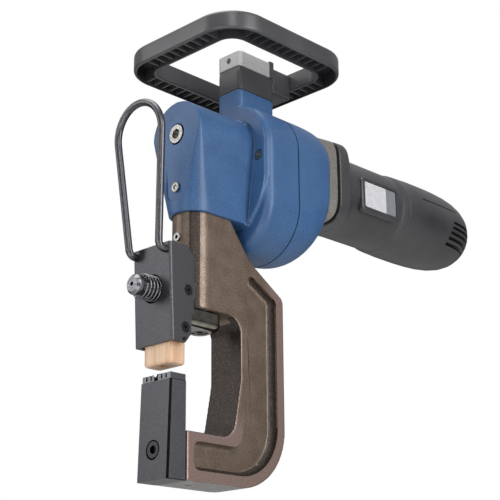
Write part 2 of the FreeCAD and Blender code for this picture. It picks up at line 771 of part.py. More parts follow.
def gear_head_housing():
    """One casting: head, front half of the gear housing and the tower that carries the handle."""
    box_body = soften(stadium(head_rear, gearbox_split - head_rear, 0.0), 6.0, edge_at("Y", head_rear))
    cover_side = box(-tower_half, tower_half, gearbox_split, head_rear + tower_depth,
                     tower_low, crank_z + gearbox_radius + clear)
    outer = fuse(box_body, cut(tower(tower_low, tower_top), cover_side), *head_shape())
    nose_y = column_front + half
    socket_nose = rod("Z", 0.0, nose_y, head_bottom, half, column_top - head_bottom)
    socket_box = box(-half, half, nose_y, column_rear, head_bottom, column_top)
    room_front = head_front + 11.0
    room_depth = 34.0
    room = rod("Y", 0.0, room_front, head_centre_z, head_radius - head_wall, room_depth)
    room_low = box(-20.0, 20.0, room_front, room_front + room_depth, column_top, head_centre_z)
    gear_room = stadium(plate_front, gearbox_split - plate_front, gearbox_wall)
    pivot = rod("Y", 0.0, head_front, crank_z, 5.0, 11.0)
    pivot_seat = rod("Y", 0.0, head_front, crank_z, 8.6, 7.0)
    crank_seat = rod("Y", 0.0, room_front + room_depth, crank_z, 15.0, plate_front - room_front - room_depth)
    counter_seat = rod("Y", 0.0, plate_front - 5.0, gearbox_low_z, 11.0, 5.0)
    screw = rod("Y", 0.0, head_front, head_screw_z, 2.5, 3.2)
    screw_seat = rod("Y", 0.0, head_front - 1.0, head_screw_z, 4.6, 2.0)
    holes = [rod("Y", x, head_rear, z, 2.5, plate_front - head_rear) for x, z in flange_screw_places]
    seats = [rod("Y", x, head_rear, z, 4.5, 3.0) for x, z in flange_screw_places]
    return cut(outer, socket_nose, socket_box, room, room_low, gear_room, pivot, pivot_seat, crank_seat,
               counter_seat, screw, screw_seat, *holes, *seats)


def bearing_plate():
    """Steel plate screwed inside the housing, which carries the gear bearings."""
    body = stadium(plate_front, plate_rear - plate_front, gearbox_wall)
    threads = [rod("Y", x, plate_front, z, 2.5, plate_rear - plate_front) for x, z in flange_screw_places]
    return cut(body, *bearing_bores(plate_front, plate_rear - plate_front), *threads)


cover_front = gearbox_split + gasket


def cover_body():
    blank = stadium(cover_front, gearbox_rear - cover_front, 0.0)
    return soften(blank, gearbox_round, edge_at("Y", gearbox_rear))


def gear_housing_cover():
    """Domed rear half of the gear housing, with the seats of the countershaft and the motor."""
    room = stadium(cover_front, cover_room - cover_front, gearbox_wall)
    counter_seat = rod("Y", 0.0, cover_room, gearbox_low_z, 11.0, 8.0)
    motor_bearing = rod("Y", 0.0, gearbox_rear - 14.0, motor_z, 13.0, 14.0)
    shaft_hole = rod("Y", 0.0, cover_room, motor_z, 7.0, gearbox_rear - cover_room)
    relief = ring("Y", 0.0, cover_room, gearbox_low_z, 34.0, 15.0, 12.0)
    shelf = box(-45.0, 45.0, cover_room, cover_room + 12.0, 256.0, 290.0)
    return cut(cover_body(), room, counter_seat, motor_bearing, shaft_hole, cut(relief, shelf))


named("gear_head_housing", gear_head_housing())
named("bearing_plate", bearing_plate())
named("gear_housing_cover", gear_housing_cover())
gasket_inside = stadium(gearbox_split, gasket, gearbox_wall)
named("housing_gasket", cut(stadium(gearbox_split, gasket, 0.4), gasket_inside))
flange_screw_length = plate_rear - head_rear - 3.5
named("flange_screws", group(*[
    socket_screw(x, head_rear + 0.2, z, 4.2, 2.8, 2.5, flange_screw_length, 2.0) for x, z in flange_screw_places]))
named("head_screw", socket_screw(0.0, head_front - 0.8, head_screw_z, 4.2, 1.8, 2.5, 9.0, 1.8))
named("crank_pivot_screw", socket_screw(0.0, head_front - 0.5, crank_z, 8.0, 7.5, 5.0, 12.0, 4.0))


# ---------------------------------------------------------------- gears and crank

def gear(teeth, module, axis_z, start, width, bore):
    """Spur gear whose teeth stop just under the pitch line, so that meshing gears stay clear."""
    pitch = teeth * module / 2
    tip, root = pitch - 0.15, pitch - 1.25 * module
    points = []
    for tooth in range(teeth):
        centre = 2 * math.pi * tooth / teeth
        for radius, turn in ((root, -0.34), (tip, -0.20), (tip, 0.20), (root, 0.34)):
            angle = centre + turn * 2 * math.pi / teeth
            points.append(Vector(radius * math.cos(angle), start, axis_z + radius * math.sin(angle)))
    rim = Part.Face(Part.makePolygon(points + points[:1]))
    solid = rim.extrude(Vector(0, width, 0))
    hole = Part.makeCylinder(bore, width, Vector(0, start, axis_z), Vector(0, 1, 0))
    return solid.cut(hole)


def crank_shaft():
    """Crank: front cheek on the pivot screw, crank pin, rear cheek and a long journal."""
    front = rod("Y", 0.0, 22.0, crank_z, 13.0, 8.0)
    pin = rod("Y", 0.0, 30.0, crank_z + crank_throw, crank_pin_radius, 16.0)
    rear = rod("Y", 0.0, 46.0, crank_z, 13.0, 7.0)
    journal = rod("Y", 0.0, 53.0, crank_z, journal_radius, crank_gear_y + crank_gear_width + 2.0 - 53.0)
    pivot_bore = rod("Y", 0.0, 22.0, crank_z, 5.0 + fit, 8.0)
    return cut(fuse(front, pin, rear, journal), pivot_bore)


named("crank_shaft", crank_shaft())
named("crank_roller", ring("Y", 0.0, 31.0, pin_top_z, roller_radius, crank_pin_radius, 14.0))
named("crank_bearings", group(*[ring("Y", 0.0, start, crank_z, 15.0, journal_radius + fit, 10.0)
                                for start in (56.0, 72.0)]))
shape_part("crank_gear", gear(49, second_module.number, crank_z.number, crank_gear_y.number,
                              crank_gear_width.number, journal_radius.number))
named("countershaft", rod("Y", 0.0, plate_front - 5.0, gearbox_low_z, counter_radius, 65.0))
named("counter_bearings", group(*[ring("Y", 0.0, start, gearbox_low_z, 11.0, counter_radius + fit, 8.0)
                                  for start in (plate_front - 5.0, cover_room)]))
shape_part("counter_pinion", gear(14, second_module.number, gearbox_low_z.number, crank_gear_y.number,
                                  crank_gear_width.number, counter_radius.number))
shape_part("counter_gear", gear(72, first_module.number, gearbox_low_z.number, counter_gear_y.number,
                                counter_gear_width.number, counter_radius.number))


# ---------------------------------------------------------------- motor

def motor_adapter():
    """Cast ring between the domed cover and the motor, with a spigot that centres the motor."""
    profile = [
        (gearbox_rear - 30.0, 26.0), (gearbox_rear - 30.0, adapter_radius),
        (gearbox_rear, adapter_radius), (adapter_end, adapter_radius - 1.0),
        (adapter_end, spigot_radius), (adapter_end + 10.0, spigot_radius), (adapter_end + 10.0, 26.0)]
    return cut(turned("Y", 0.0, 0.0, motor_z, profile), cover_body())


def motor_housing():
    """Moulded barrel of the motor with its front flange, label pad and the slider's recess."""
    web = motor_split - 12.0
    profile = [
        (motor_front, motor_bore), (motor_front, flange_radius), (motor_front + 13.0, flange_radius, 2.0),
        (motor_front + 20.0, motor_radius), (motor_split - 9.0, motor_radius),
        (motor_split - 7.0, motor_radius + 1.5), (motor_split, motor_radius + 1.5),
        (motor_split, 11.0), (web, 11.0), (web, motor_bore)]
    barrel = turned("Y", 0.0, 0.0, motor_z, profile)
    pad = box(motor_bore + 1.0, motor_radius + 0.4, label_y - 3.0, label_y + label_length + 3.0,
              label_z - 3.0, label_z + label_height + 3.0)
    recess = box(-45.0, -34.8, slider_y - 0.5, slider_y + slider_length + slider_travel + 0.5,
                 motor_z - 7.5, motor_z + 7.5)
    return cut(fuse(barrel, pad), recess)


def motor_cap():
    """Moulded rear cap: a barrel that swells a little and closes in a dome."""
    start = motor_split + 0.3
    profile = [
        (start, 35.0), (start, motor_radius + 1.7), (start + 28.0, motor_radius + 2.5, 60.0),
        (motor_rear - 38.0, motor_radius - 1.0, 60.0), (motor_rear - 8.0, 27.0, 14.0),
        (motor_rear, 12.0, 8.0), (motor_rear, gland_bore), (motor_rear - 3.0, gland_bore), (motor_rear - 3.5, 10.0),
        (motor_rear - 12.0, 24.0), (motor_rear - 40.0, 32.0)]
    shell = turned("Y", 0.0, 0.0, motor_z, profile)
    vents = [box(26.0, 45.0, motor_rear - 30.0, motor_rear - 8.0, motor_z + z - 1.0, motor_z + z + 1.0)
             for z in (-9.0, -4.0, 1.0, 6.0)]
    return cut(shell, *vents)


named("motor_adapter", motor_adapter())
named("motor_housing", motor_housing())
named("motor_cap", motor_cap())
named("label_plate", box(motor_radius + 0.4, motor_radius + 1.2, label_y, label_y + label_length,
                         label_z, label_z + label_height))
named("cable_gland", fuse(ring("Y", 0.0, motor_rear - 6.0, motor_z, gland_bore, 3.4, 18.0),
                          ring("Y", 0.0, motor_rear, motor_z, gland_bore + 2.5, 3.4, 3.0)))
named("switch_slider", box(-39.5, -35.1, slider_y, slider_y + slider_length, motor_z - 7.0, motor_z + 7.0))
named("switch_module", box(-14.0, 14.0, motor_split, motor_split + 34.0, motor_z - 12.0, motor_z + 12.0))

rotor_end = motor_split - 2.0

named("stator_core", ring("Y", 0.0, stator_y, motor_z, motor_bore, rotor_radius + air_gap, stator_length))
named("stator_windings", group(
    ring("Y", 0.0, stator_y - 8.0, motor_z, 31.0, 24.5, 8.0),
    ring("Y", 0.0, stator_y + stator_length, motor_z, 31.0, 24.5, 6.0)))
pinion_length = counter_gear_width + 4.0
pinion_y = counter_gear_y - 2.0
named("rotor_shaft", rod("Y", 0.0, pinion_y, motor_z, rotor_shaft_radius, rotor_end - pinion_y))
shape_part("rotor_pinion", gear(11, first_module.number, motor_z.number, pinion_y.number,
                                pinion_length.number, rotor_shaft_radius.number))
named("rotor_core", ring("Y", 0.0, stator_y, motor_z, rotor_radius, rotor_shaft_radius, stator_length))
commutator_y = stator_y + stator_length + 6.0
named("commutator", ring("Y", 0.0, commutator_y, motor_z, 11.0, rotor_shaft_radius, 14.0))
fan_y = adapter_end + 12.0


def fan():
    """Cooling fan: hub, disc and a ring of blades."""
    hub = rod("Y", 0.0, fan_y, motor_z, 8.0, 7.0)
    disc = rod("Y", 0.0, fan_y + 5.5, motor_z, 29.0, 1.5)
    blades = []
    for blade in range(9):
        vane = box(6.0, 28.0, fan_y, fan_y + 6.0, -0.8, 0.8)
        turn = Placement(Vector(0, 0, motor_z.number), Rotation(Vector(0, 1, 0), blade * 40))
        vane.Placement = turn * Placement(Vector(6.0, fan_y.number, -0.8), Rotation())
        blades.append(vane)
    return cut(fuse(hub, disc, *blades), rod("Y", 0.0, fan_y, motor_z, rotor_shaft_radius, 7.0))


named("fan", fan())
named("rotor_bearings", group(
    ring("Y", 0.0, gearbox_rear - 14.0, motor_z, 13.0, rotor_shaft_radius + fit, 10.0),
    ring("Y", 0.0, motor_split - 11.0, motor_z, 11.0, rotor_shaft_radius + fit, 9.0)))
brush_y = commutator_y + 3.0
named("carbon_brushes", group(*[box(low, low + 10.0, brush_y, brush_y + 8.0, motor_z - 3.0, motor_z + 3.0)
                                for low in (11.1, -21.1)]))
named("brush_holders", group(*[cut(
    box(low, low + 18.5, brush_y - 2.0, brush_y + 10.0, motor_z - 5.0, motor_z + 5.0),
    box(low, low + 18.5, brush_y, brush_y + 8.0, motor_z - 3.0, motor_z + 3.0)) for low in (14.0, -32.5)]))


# ---------------------------------------------------------------- handle

def ring_outline(inset):
    radius = ring_corner - inset
    front, rear, wide = ring_front + inset, ring_rear - inset, ring_half - inset
    return [(-wide, front, radius), (wide, front, radius), (wide, rear, radius), (-wide, rear, radius)]


def rib_across(step, low, high):
    """A pair of ribs that cross the front and the rear bar."""
    x0, x1 = rib_pitch * step - rib_thickness / 2, rib_pitch * step + rib_thickness / 2
    return [box(x0, x1, start + 1.0, start + ring_width - 1.0, low, high)
            for start in (ring_front, ring_rear - ring_width)]


def rib_along(step, low, high):
    """A pair of ribs that cross the two side bars."""
    y0 = (ring_front + ring_rear) / 2 + rib_pitch * step - rib_thickness / 2
    inner, outer = ring_half - ring_width + 1.0, ring_half - 1.0
    return [box(x0, x1, y0, y0 + rib_thickness, low, high) for x0, x1 in ((-outer, -inner), (inner, outer))]


def ring_handle():
    """Moulded loop handle: an open channel turned down, stiffened by cross ribs."""
    ring_top = ring_bottom + ring_height
    channel_height = ring_height - ring_roof
    loop = cut(plate("XY", ring_bottom, ring_height, ring_outline(0.0)),
               plate("XY", ring_bottom, ring_height, ring_outline(ring_width)))
    channel = cut(plate("XY", ring_bottom, channel_height, ring_outline(ring_wall)),
                  plate("XY", ring_bottom, channel_height, ring_outline(ring_width - ring_wall)))
    low, high = ring_bottom + 2.0, ring_top - ring_roof
    ribs = [rib for step in range(-4, 5) for rib in rib_across(step, low, high)]
    ribs += [rib for step in range(-5, 6) for rib in rib_along(step, low, high)]
    bridge = box(-bridge_half, bridge_half, head_rear + tower_depth, ring_rear - ring_width + 1.0,
                 post_top - 12.0, ring_top - 2.0)
    return fuse(cut(loop, channel), bridge, *ribs)


named("handle_post", tower(tower_top, post_top))
plate_y = head_rear + tower_depth - 5.0
suspension = box(-tower_half, tower_half, head_rear, plate_y, post_top, block_top)
hanging_hole = rod("Y", 0.0, head_rear, 371.3, 2.5, 20.0)
named("suspension_block", cut(suspension, hanging_hole))
plate_top = block_top + 2.0
named("handle_plate", box(-tower_half, tower_half, plate_y, head_rear + tower_depth, post_top, plate_top))
named("ring_handle", ring_handle())


# ---------------------------------------------------------------- checks and files

doc.recompute()
for obj in doc.Objects:
    if "Invalid" in obj.State or "Error" in obj.State:
        raise RuntimeError(f"{obj.Label} ({obj.Name}) failed: {obj.State}")
for piece in sub_parts:
    if piece.Shape.isNull() or not piece.Shape.isValid():
        raise RuntimeError(f"{piece.Label} has no valid shape")

os.makedirs("parts", exist_ok=True)
for piece in sub_parts:
    piece.Shape.exportStep(f"parts/{piece.Label}.step")
print(f"{len(sub_parts)} sub-parts written")
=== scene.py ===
import json
import math
import bmesh
import bpy
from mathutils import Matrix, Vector

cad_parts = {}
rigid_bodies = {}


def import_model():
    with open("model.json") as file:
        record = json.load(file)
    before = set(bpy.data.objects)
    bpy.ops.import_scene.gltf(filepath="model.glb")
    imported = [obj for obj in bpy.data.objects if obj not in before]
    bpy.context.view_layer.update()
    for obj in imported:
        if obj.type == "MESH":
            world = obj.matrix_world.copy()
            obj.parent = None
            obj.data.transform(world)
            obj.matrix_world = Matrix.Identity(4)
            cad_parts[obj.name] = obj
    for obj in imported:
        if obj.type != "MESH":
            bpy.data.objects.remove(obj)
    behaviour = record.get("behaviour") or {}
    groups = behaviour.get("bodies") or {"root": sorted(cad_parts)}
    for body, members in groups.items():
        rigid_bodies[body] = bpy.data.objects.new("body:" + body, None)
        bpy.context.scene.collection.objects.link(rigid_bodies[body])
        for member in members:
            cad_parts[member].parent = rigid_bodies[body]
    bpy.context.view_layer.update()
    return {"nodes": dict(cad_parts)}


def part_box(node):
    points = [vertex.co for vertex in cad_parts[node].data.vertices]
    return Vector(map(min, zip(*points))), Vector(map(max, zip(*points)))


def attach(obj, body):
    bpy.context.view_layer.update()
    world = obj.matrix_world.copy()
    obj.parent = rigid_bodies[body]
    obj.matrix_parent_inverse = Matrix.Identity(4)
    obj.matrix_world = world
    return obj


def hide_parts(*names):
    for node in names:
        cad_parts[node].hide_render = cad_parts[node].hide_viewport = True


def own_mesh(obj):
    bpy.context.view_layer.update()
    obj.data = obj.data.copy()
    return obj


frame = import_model()


# ---- Studio: the tool hangs above a pale floor, as from its balancer, in a light tent.
# A broad lamp stands on its right, a softer one above, and the tent closes the rest.
MM = 0.001
floor_size, floor_level = 14.0, -0.42
bpy.ops.object.select_all(action="DESELECT")
bpy.ops.mesh.primitive_plane_add(size=floor_size, location=(0.0, 0.0, floor_level))
floor = bpy.context.object
floor.name = "studio_floor"
bpy.ops.object.transform_apply(location=True, rotation=True, scale=True)


def colour(code):
    """A hex sRGB colour as the linear values that a shader takes."""
    parts = [int(code[i:i + 2], 16) / 255 for i in (1, 3, 5)]
    return tuple(p / 12.92 if p <= 0.04045 else ((p + 0.055) / 1.055) ** 2.4 for p in parts) + (1.0,)


def node(tree, kind, settings=None, inputs=None):
    """Add a shader node with its settings; an input takes a value, an output, or a node's first output.

    The setting stops gives a colour ramp its (place, hex colour) steps.
    """
    made = tree.nodes.new("ShaderNode" + kind)
    for name, value in (settings or {}).items():
        if name != "stops":
            setattr(made, name, value)
            continue
        stops = made.color_ramp.elements
        while len(stops) < len(value):
            stops.new(0.5)
        for stop, (place, code) in zip(stops, value):
            stop.position = place
            stop.color = colour(code)
    for name, value in (inputs or {}).items():
        if isinstance(value, bpy.types.Node):
            value = value.outputs[0]
        if isinstance(value, bpy.types.NodeSocket):
            tree.links.new(value, made.inputs[name])
        else:
            made.inputs[name].default_value = value
    return made


def started(name):
    """A new empty material, its node tree, and the place on the piece that its patterns read."""
    material = bpy.data.materials.new(name)
    material.use_nodes = True
    tree = material.node_tree
    tree.nodes.clear()
    return material, tree, node(tree, "TexCoord").outputs["Object"]


def finished(tree, surface):
    """Close a material with one glossy shader that takes the given values and outputs."""
    shader = node(tree, "BsdfPrincipled", inputs=surface)
    node(tree, "OutputMaterial", inputs={"Surface": shader})


def grained(name, steps, surface, per_metre, detail, cloud=None, gloss=None, relief=None, crispness=0.5):
    """A finish with one grain, which sets its tone unless a broader cloud does.

    Grain and cloud are given as how many go to a metre: 1000 is a grain of 1 mm. The grain may also
    shift the roughness between two values, and stand up as a relief of (strength, depth in mm).
    """
    material, tree, place = started(name)
    grain = node(tree, "TexNoise", inputs={
        "Vector": place, "Scale": per_metre, "Detail": detail, "Roughness": crispness})
    tone = grain
    if cloud:
        tone = node(tree, "TexNoise", inputs={"Vector": place, "Scale": cloud, "Detail": detail})
    surface["Base Color"] = node(tree, "ValToRGB", {"stops": steps}, {"Fac": tone})
    if gloss:
        surface["Roughness"] = node(tree, "MapRange", inputs={
            "Value": grain, "To Min": gloss[0], "To Max": gloss[1]})
    if relief:
        surface["Normal"] = node(tree, "Bump", inputs={
            "Strength": relief[0], "Distance": relief[1] * MM, "Height": grain})
    finished(tree, surface)
    return material


def painted(piece, *materials):
    """Give a piece its materials, in slot order."""
    piece.data.materials.clear()
    for material in materials:
        piece.data.materials.append(material)


# painted plywood floor: a broad, faint mottle is all that shows of it
painted(floor, grained("floor_pale_matt", [(0.35, "#DCDCDA"), (0.65, "#E6E6E4")], {"Roughness": 0.8},
                       per_metre=3.0, detail=4.0))

tent = bpy.data.worlds.new("light_tent")
bpy.context.scene.world = tent
tent.use_nodes = True
tree = tent.node_tree
tree.nodes.clear()
sky = node(tree, "TexCoord").outputs["Generated"]
height = node(tree, "SeparateXYZ", inputs={0: sky}).outputs["Z"]
level = node(tree, "MapRange", inputs={"Value": height, "From Min": -1.0})
shade = node(tree, "ValToRGB", {"stops": [
    (0.0, "#77777A"), (0.42, "#56565A"), (0.55, "#6C6C70"), (0.75, "#C6C6CA"), (1.0, "#F0F0F2")]},
    {"Fac": level})
seen = node(tree, "LightPath").outputs["Is Camera Ray"]
cloth = node(tree, "Background", inputs={"Color": shade, "Strength": 0.75})
white = node(tree, "Background", inputs={"Color": (1.0, 1.0, 1.0, 1.0), "Strength": 1.0})
both = node(tree, "MixShader", inputs={0: seen, 1: cloth, 2: white})
node(tree, "OutputWorld", inputs={"Surface": both})


def lamp(name, place, aim, width, height, power):
    """A soft box at a place, turned towards a point."""
    light = bpy.data.lights.new(name, "AREA")
    light.shape = "RECTANGLE"
    light.size, light.size_y = width, height
    light.energy = power
    holder = bpy.data.objects.new(name, light)
    bpy.context.scene.collection.objects.link(holder)
    holder.location = place
    holder.rotation_euler = (Vector(aim) - Vector(place)).to_track_quat("-Z", "Y").to_euler()


lamp("soft_box_right", (1.15, 0.15, 0.35), (0.0, 0.08, 0.2), width=0.55, height=1.1, power=13.0)
lamp("soft_box_top", (-0.1, -0.2, 1.25), (0.0, 0.1, 0.25), width=0.9, height=0.9, power=9.0)
lamp("soft_box_left", (-0.75, -0.9, 0.55), (0.0, 0.05, 0.2), width=0.35, height=0.9, power=4.0)
lamp("soft_box_front", (0.15, -1.25, 0.1), (0.0, 0.07, 0.26), width=0.35, height=0.7, power=3.5)
lamp("strip_lamp_corner", (0.88, -0.77, 0.74), (0.0, 0.05, 0.3), width=0.12, height=0.8, power=4.0)
lamp("soft_box_low", (0.25, -0.6, -0.38), (0.0, 0.1, 0.2), width=0.9, height=0.5, power=3.0)

camera_spot = (0.7350, -0.6568, -0.1408)
camera_aim = (-0.6638, 0.6799, 0.3115)
camera_roll = math.radians(-0.45)
lens, sensor = 94.46, 36.0
camera_data = bpy.data.cameras.new("camera")
camera_data.lens = lens
camera_data.sensor_width = sensor
camera = bpy.data.objects.new("camera", camera_data)
bpy.context.scene.collection.objects.link(camera)
bpy.context.scene.camera = camera
camera.location = camera_spot
bpy.context.scene.view_settings.view_transform = "Standard"
turn = Vector(camera_aim).to_track_quat("-Z", "Y").to_matrix().to_4x4()
turn.translation = camera.location
camera.matrix_world = turn
camera.rotation_euler.rotate_axis("Z", camera_roll)


# ---- C-frame: a drop forging that carries the die below and the ram above.
# The blank is left rough and lacquered bronze-brown; only the flanks' rims and the base are milled.
AXES = {"X": (1, 2, 0), "Y": (0, 2, 1), "Z": (0, 1, 2)}
SAME = 1e-6
# a colour Mix node's sockets: its factor and two colours go in, and its result comes out
MIX_BY, MIX_FROM, MIX_TO, MIX_OUT = 0, 6, 7, 2


def box_of(name):
    """The lowest and the highest corner of a CAD node, in millimetres."""
    return [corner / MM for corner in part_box(name)]


def take(piece):
    """Make one piece the only selected and active one, in object mode."""
    if bpy.context.object and bpy.context.object.mode != "OBJECT":
        bpy.ops.object.mode_set(mode="OBJECT")
    for other in bpy.context.selected_objects:
        other.select_set(False)
    if piece:
        piece.select_set(True)
        bpy.context.view_layer.objects.active = piece


def pick(piece, kind, wanted):
    """Select in edit mode the vertices, edges or faces that pass a test."""
    take(piece)
    bpy.ops.object.mode_set(mode="EDIT")
    bpy.ops.mesh.select_mode(type={"verts": "VERT", "edges": "EDGE", "faces": "FACE"}[kind])
    bpy.ops.mesh.select_all(action="DESELECT")
    mesh = bmesh.from_edit_mesh(piece.data)
    for element in getattr(mesh, kind):
        if wanted(element):
            element.select_set(True)
    mesh.select_flush_mode()
    bmesh.update_edit_mesh(piece.data)


def rounded(piece, radius, wanted, segments=4):
    """Bevel the edges that pass a test."""
    pick(piece, "edges", wanted)
    bpy.ops.mesh.bevel(offset=radius * MM, segments=segments, affect="EDGES", clamp_overlap=False)
    bpy.ops.object.mode_set(mode="OBJECT")


def at(axis, level):
    """A test for edges that lie at one place along an axis, in millimetres."""
    return lambda edge: all(abs(v.co[AXES[axis][2]] - level * MM) < SAME for v in edge.verts)


def slab(name, across, corners, start, end):
    """Pull a flat outline along an axis; a corner is (first, second, corner radius) in millimetres."""
    first, second, third = AXES[across]
    take(None)
    bpy.ops.mesh.primitive_circle_add(vertices=len(corners), radius=1.0)
    piece = bpy.context.object
    piece.name = name
    for vertex, corner in zip(piece.data.vertices, corners):
        vertex.co[first], vertex.co[second], vertex.co[third] = corner[0] * MM, corner[1] * MM, start * MM
    bpy.ops.object.mode_set(mode="EDIT")
    bpy.ops.mesh.select_all(action="SELECT")
    bpy.ops.mesh.edge_face_add()
    pull = [0.0, 0.0, 0.0]
    pull[third] = (end - start) * MM
    bpy.ops.mesh.extrude_region_move(TRANSFORM_OT_translate={"value": pull})
    bpy.ops.mesh.select_all(action="SELECT")
    bpy.ops.mesh.normals_make_consistent(inside=False)
    for i, corner in enumerate(corners):
        if len(corner) < 3:
            continue
        here = Vector(corner[:2])
        before = (Vector(corners[i - 1][:2]) - here).normalized()
        after = (Vector(corners[(i + 1) % len(corners)][:2]) - here).normalized()
        reach = corner[2] / math.tan(before.angle(after) / 2)

        def stands_there(edge):
            return all(abs(v.co[first] - here.x * MM) < SAME and abs(v.co[second] - here.y * MM) < SAME
                       for v in edge.verts)
        rounded(piece, reach, stands_there, max(3, min(28, int(corner[2] * 0.8) + 3)))
    take(piece)
    return piece


def oblong(left, near, right, far, *radii):
    """A four-cornered outline, with one radius for all corners, one for each, or none."""
    corners = [(left, near), (right, near), (right, far), (left, far)]
    return [corner + radii[i % len(radii):][:1] if radii else corner for i, corner in enumerate(corners)]


def block(name, low, high):
    """A square bar between two corners, in millimetres."""
    return slab(name, "Z", oblong(low[0], low[1], high[0], high[1]), low[2], high[2])


def lathe(name, along, centre, profile, sides=96):
    """Turn a profile of (place along the axis, radius) round an axis through a centre, in millimetres."""
    first, second, third = AXES[along]
    middle = [0.0, 0.0, 0.0]
    middle[first], middle[second] = centre[0] * MM, centre[1] * MM
    take(None)
    bpy.ops.mesh.primitive_circle_add(vertices=sides, radius=profile[0][1] * MM)
    piece = bpy.context.object
    piece.name = name
    for vertex in piece.data.vertices:
        u, v = vertex.co.x, vertex.co.y
        vertex.co[first], vertex.co[second] = u + middle[first], v + middle[second]
        vertex.co[third] = profile[0][0] * MM
    bpy.ops.object.mode_set(mode="EDIT")
    bpy.ops.mesh.select_mode(type="EDGE")
    bpy.ops.mesh.select_all(action="SELECT")
    closed = profile[0] == profile[-1]
    if not closed:
        bpy.ops.mesh.edge_face_add()
    for before, after in zip(profile, profile[1:]):
        step, grow, hub = [0.0, 0.0, 0.0], [1.0, 1.0, 1.0], list(middle)
        step[third] = (after[0] - before[0]) * MM
        grow[first] = grow[second] = after[1] / before[1]
        hub[third] = after[0] * MM
        bpy.ops.mesh.extrude_region_move(TRANSFORM_OT_translate={"value": step})
        bpy.ops.transform.resize(value=grow, center_override=hub)
    if closed:
        bpy.ops.mesh.select_all(action="SELECT")
        bpy.ops.mesh.remove_doubles(threshold=SAME)
    bpy.ops.mesh.select_all(action="SELECT")
    bpy.ops.mesh.normals_make_consistent(inside=False)
    take(piece)
    return piece


def worked(piece, kind, **settings):
    """Add a modifier with its settings and apply it."""
    take(piece)
    modifier = piece.modifiers.new(kind.title(), kind)
    for name, value in settings.items():
        setattr(modifier, name, value)
    bpy.ops.object.modifier_apply(modifier=modifier.name)


def combined(piece, how, *tools):
    """Join tools to a piece or cut them from it, and remove them."""
    for tool in tools:
        worked(piece, "BOOLEAN", operation=how, solver="EXACT", object=tool)
        bpy.data.objects.remove(tool)


def cast(piece, grid, softening):
    """Give joined solids one skin with soft edges, as a casting or forging has."""
    worked(piece, "REMESH", mode="VOXEL", voxel_size=grid * MM, adaptivity=0.0)
    worked(piece, "SMOOTH", factor=0.5, iterations=softening)


def done(piece, body, slot, replaced, *materials, angle=35):
    """Smooth the faces, give the piece its materials, tie it to its body and hide the CAD nodes that it
    replaces.
    """
    take(piece)
    bpy.ops.object.shade_smooth_by_angle(angle=math.radians(angle))
    worked(piece, "WEIGHTED_NORMAL", keep_sharp=True)
    if len(piece.data.materials) != len(materials):
        painted(piece, *materials)
    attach(piece, body)
    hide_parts(*replaced)


def toned(piece, index, wanted):
    """Put the faces that pass a test on another material slot."""
    pick(piece, "faces", wanted)
    piece.active_material_index = index
    bpy.ops.object.material_slot_assign()
    bpy.ops.object.mode_set(mode="OBJECT")


rim_plane, base_plane = 17.3, 0.4
lacquered, tree, place = started("forged_steel_lacquered")
# shot-blast pits of about 1 mm under the lacquer, drawn at twice their real size so that they show
pits = node(tree, "TexNoise", inputs={"Vector": place, "Scale": 800.0, "Detail": 3.0, "Roughness": 0.6})
marks = node(tree, "TexNoise", inputs={"Vector": place, "Scale": 60.0, "Detail": 4.0})
rough = node(tree, "ValToRGB", {"stops": [(0.3, "#41362C"), (0.5, "#66584B"), (0.72, "#85766A")]},
             {"Fac": pits})
worn = node(tree, "ValToRGB", {"stops": [(0.35, "#57493D"), (0.65, "#7B6C60")]}, {"Fac": marks})
lacquer = node(tree, "Mix", {"data_type": "RGBA"}, {
    MIX_BY: 0.4, MIX_FROM: rough, MIX_TO: worn}).outputs[MIX_OUT]
# the milled rims of both flanks lie in one plane and show rosier and smoother
side = node(tree, "SeparateXYZ", inputs={0: place})
away = node(tree, "Math", {"operation": "ABSOLUTE"}, {0: side.outputs["X"]})
outer = node(tree, "Math", {"operation": "GREATER_THAN"}, {0: away, 1: rim_plane * MM})
low_down = node(tree, "MapRange", inputs={"Value": side.outputs["Z"], "From Min": 0.06, "From Max": 0.045})
rearward = node(tree, "MapRange", inputs={"Value": side.outputs["Y"], "From Min": 0.09, "From Max": 0.105})
bare = node(tree, "Math", {"operation": "MAXIMUM"}, {0: low_down, 1: rearward})
milled = node(tree, "Math", {"operation": "MULTIPLY"}, {0: outer, 1: bare})
rosy = node(tree, "ValToRGB", {"stops": [(0.3, "#73605A"), (0.7, "#8E7A72")]}, {"Fac": pits})
flanks = node(tree, "Mix", {"data_type": "RGBA"}, {
    MIX_BY: milled, MIX_FROM: lacquer, MIX_TO: rosy}).outputs[MIX_OUT]
# the base is ground flat and bare
base = node(tree, "Math", {"operation": "LESS_THAN"}, {0: side.outputs["Z"], 1: base_plane * MM})
ground = node(tree, "ValToRGB", {"stops": [(0.3, "#6A6663"), (0.7, "#807C78")]}, {"Fac": marks})
gloss = node(tree, "MapRange", inputs={"Value": milled, "To Min": 0.36, "To Max": 0.34})
depth = node(tree, "MapRange", inputs={"Value": milled, "To Min": 0.6, "To Max": 0.12})
relief = node(tree, "Bump", inputs={"Strength": depth, "Distance": 0.25 * MM, "Height": pits})
whole = node(tree, "Mix", {"data_type": "RGBA"}, {MIX_BY: base, MIX_FROM: flanks, MIX_TO: ground})
finished(tree, {"Metallic": 0.55, "Specular IOR Level": 0.5, "Base Color": whole.outputs[MIX_OUT],
                "Roughness": gloss, "Normal": relief})
# painted shade: the pockets' walls that face forward or up, and the rear wall of the throat, get a near-black
# pitted steel in place of the shade and dark reflections on them
painted_shade_steel = grained("forged_steel_painted_shade", [(0.35, "#1C1612"), (0.6, "#3A3029"), (0.75, "#6A5C50")],
                     {"Metallic": 0.5, "Specular IOR Level": 0.5, "Roughness": 0.4},
                     per_metre=900.0, detail=3.0, relief=(0.7, 0.3), crispness=0.6)

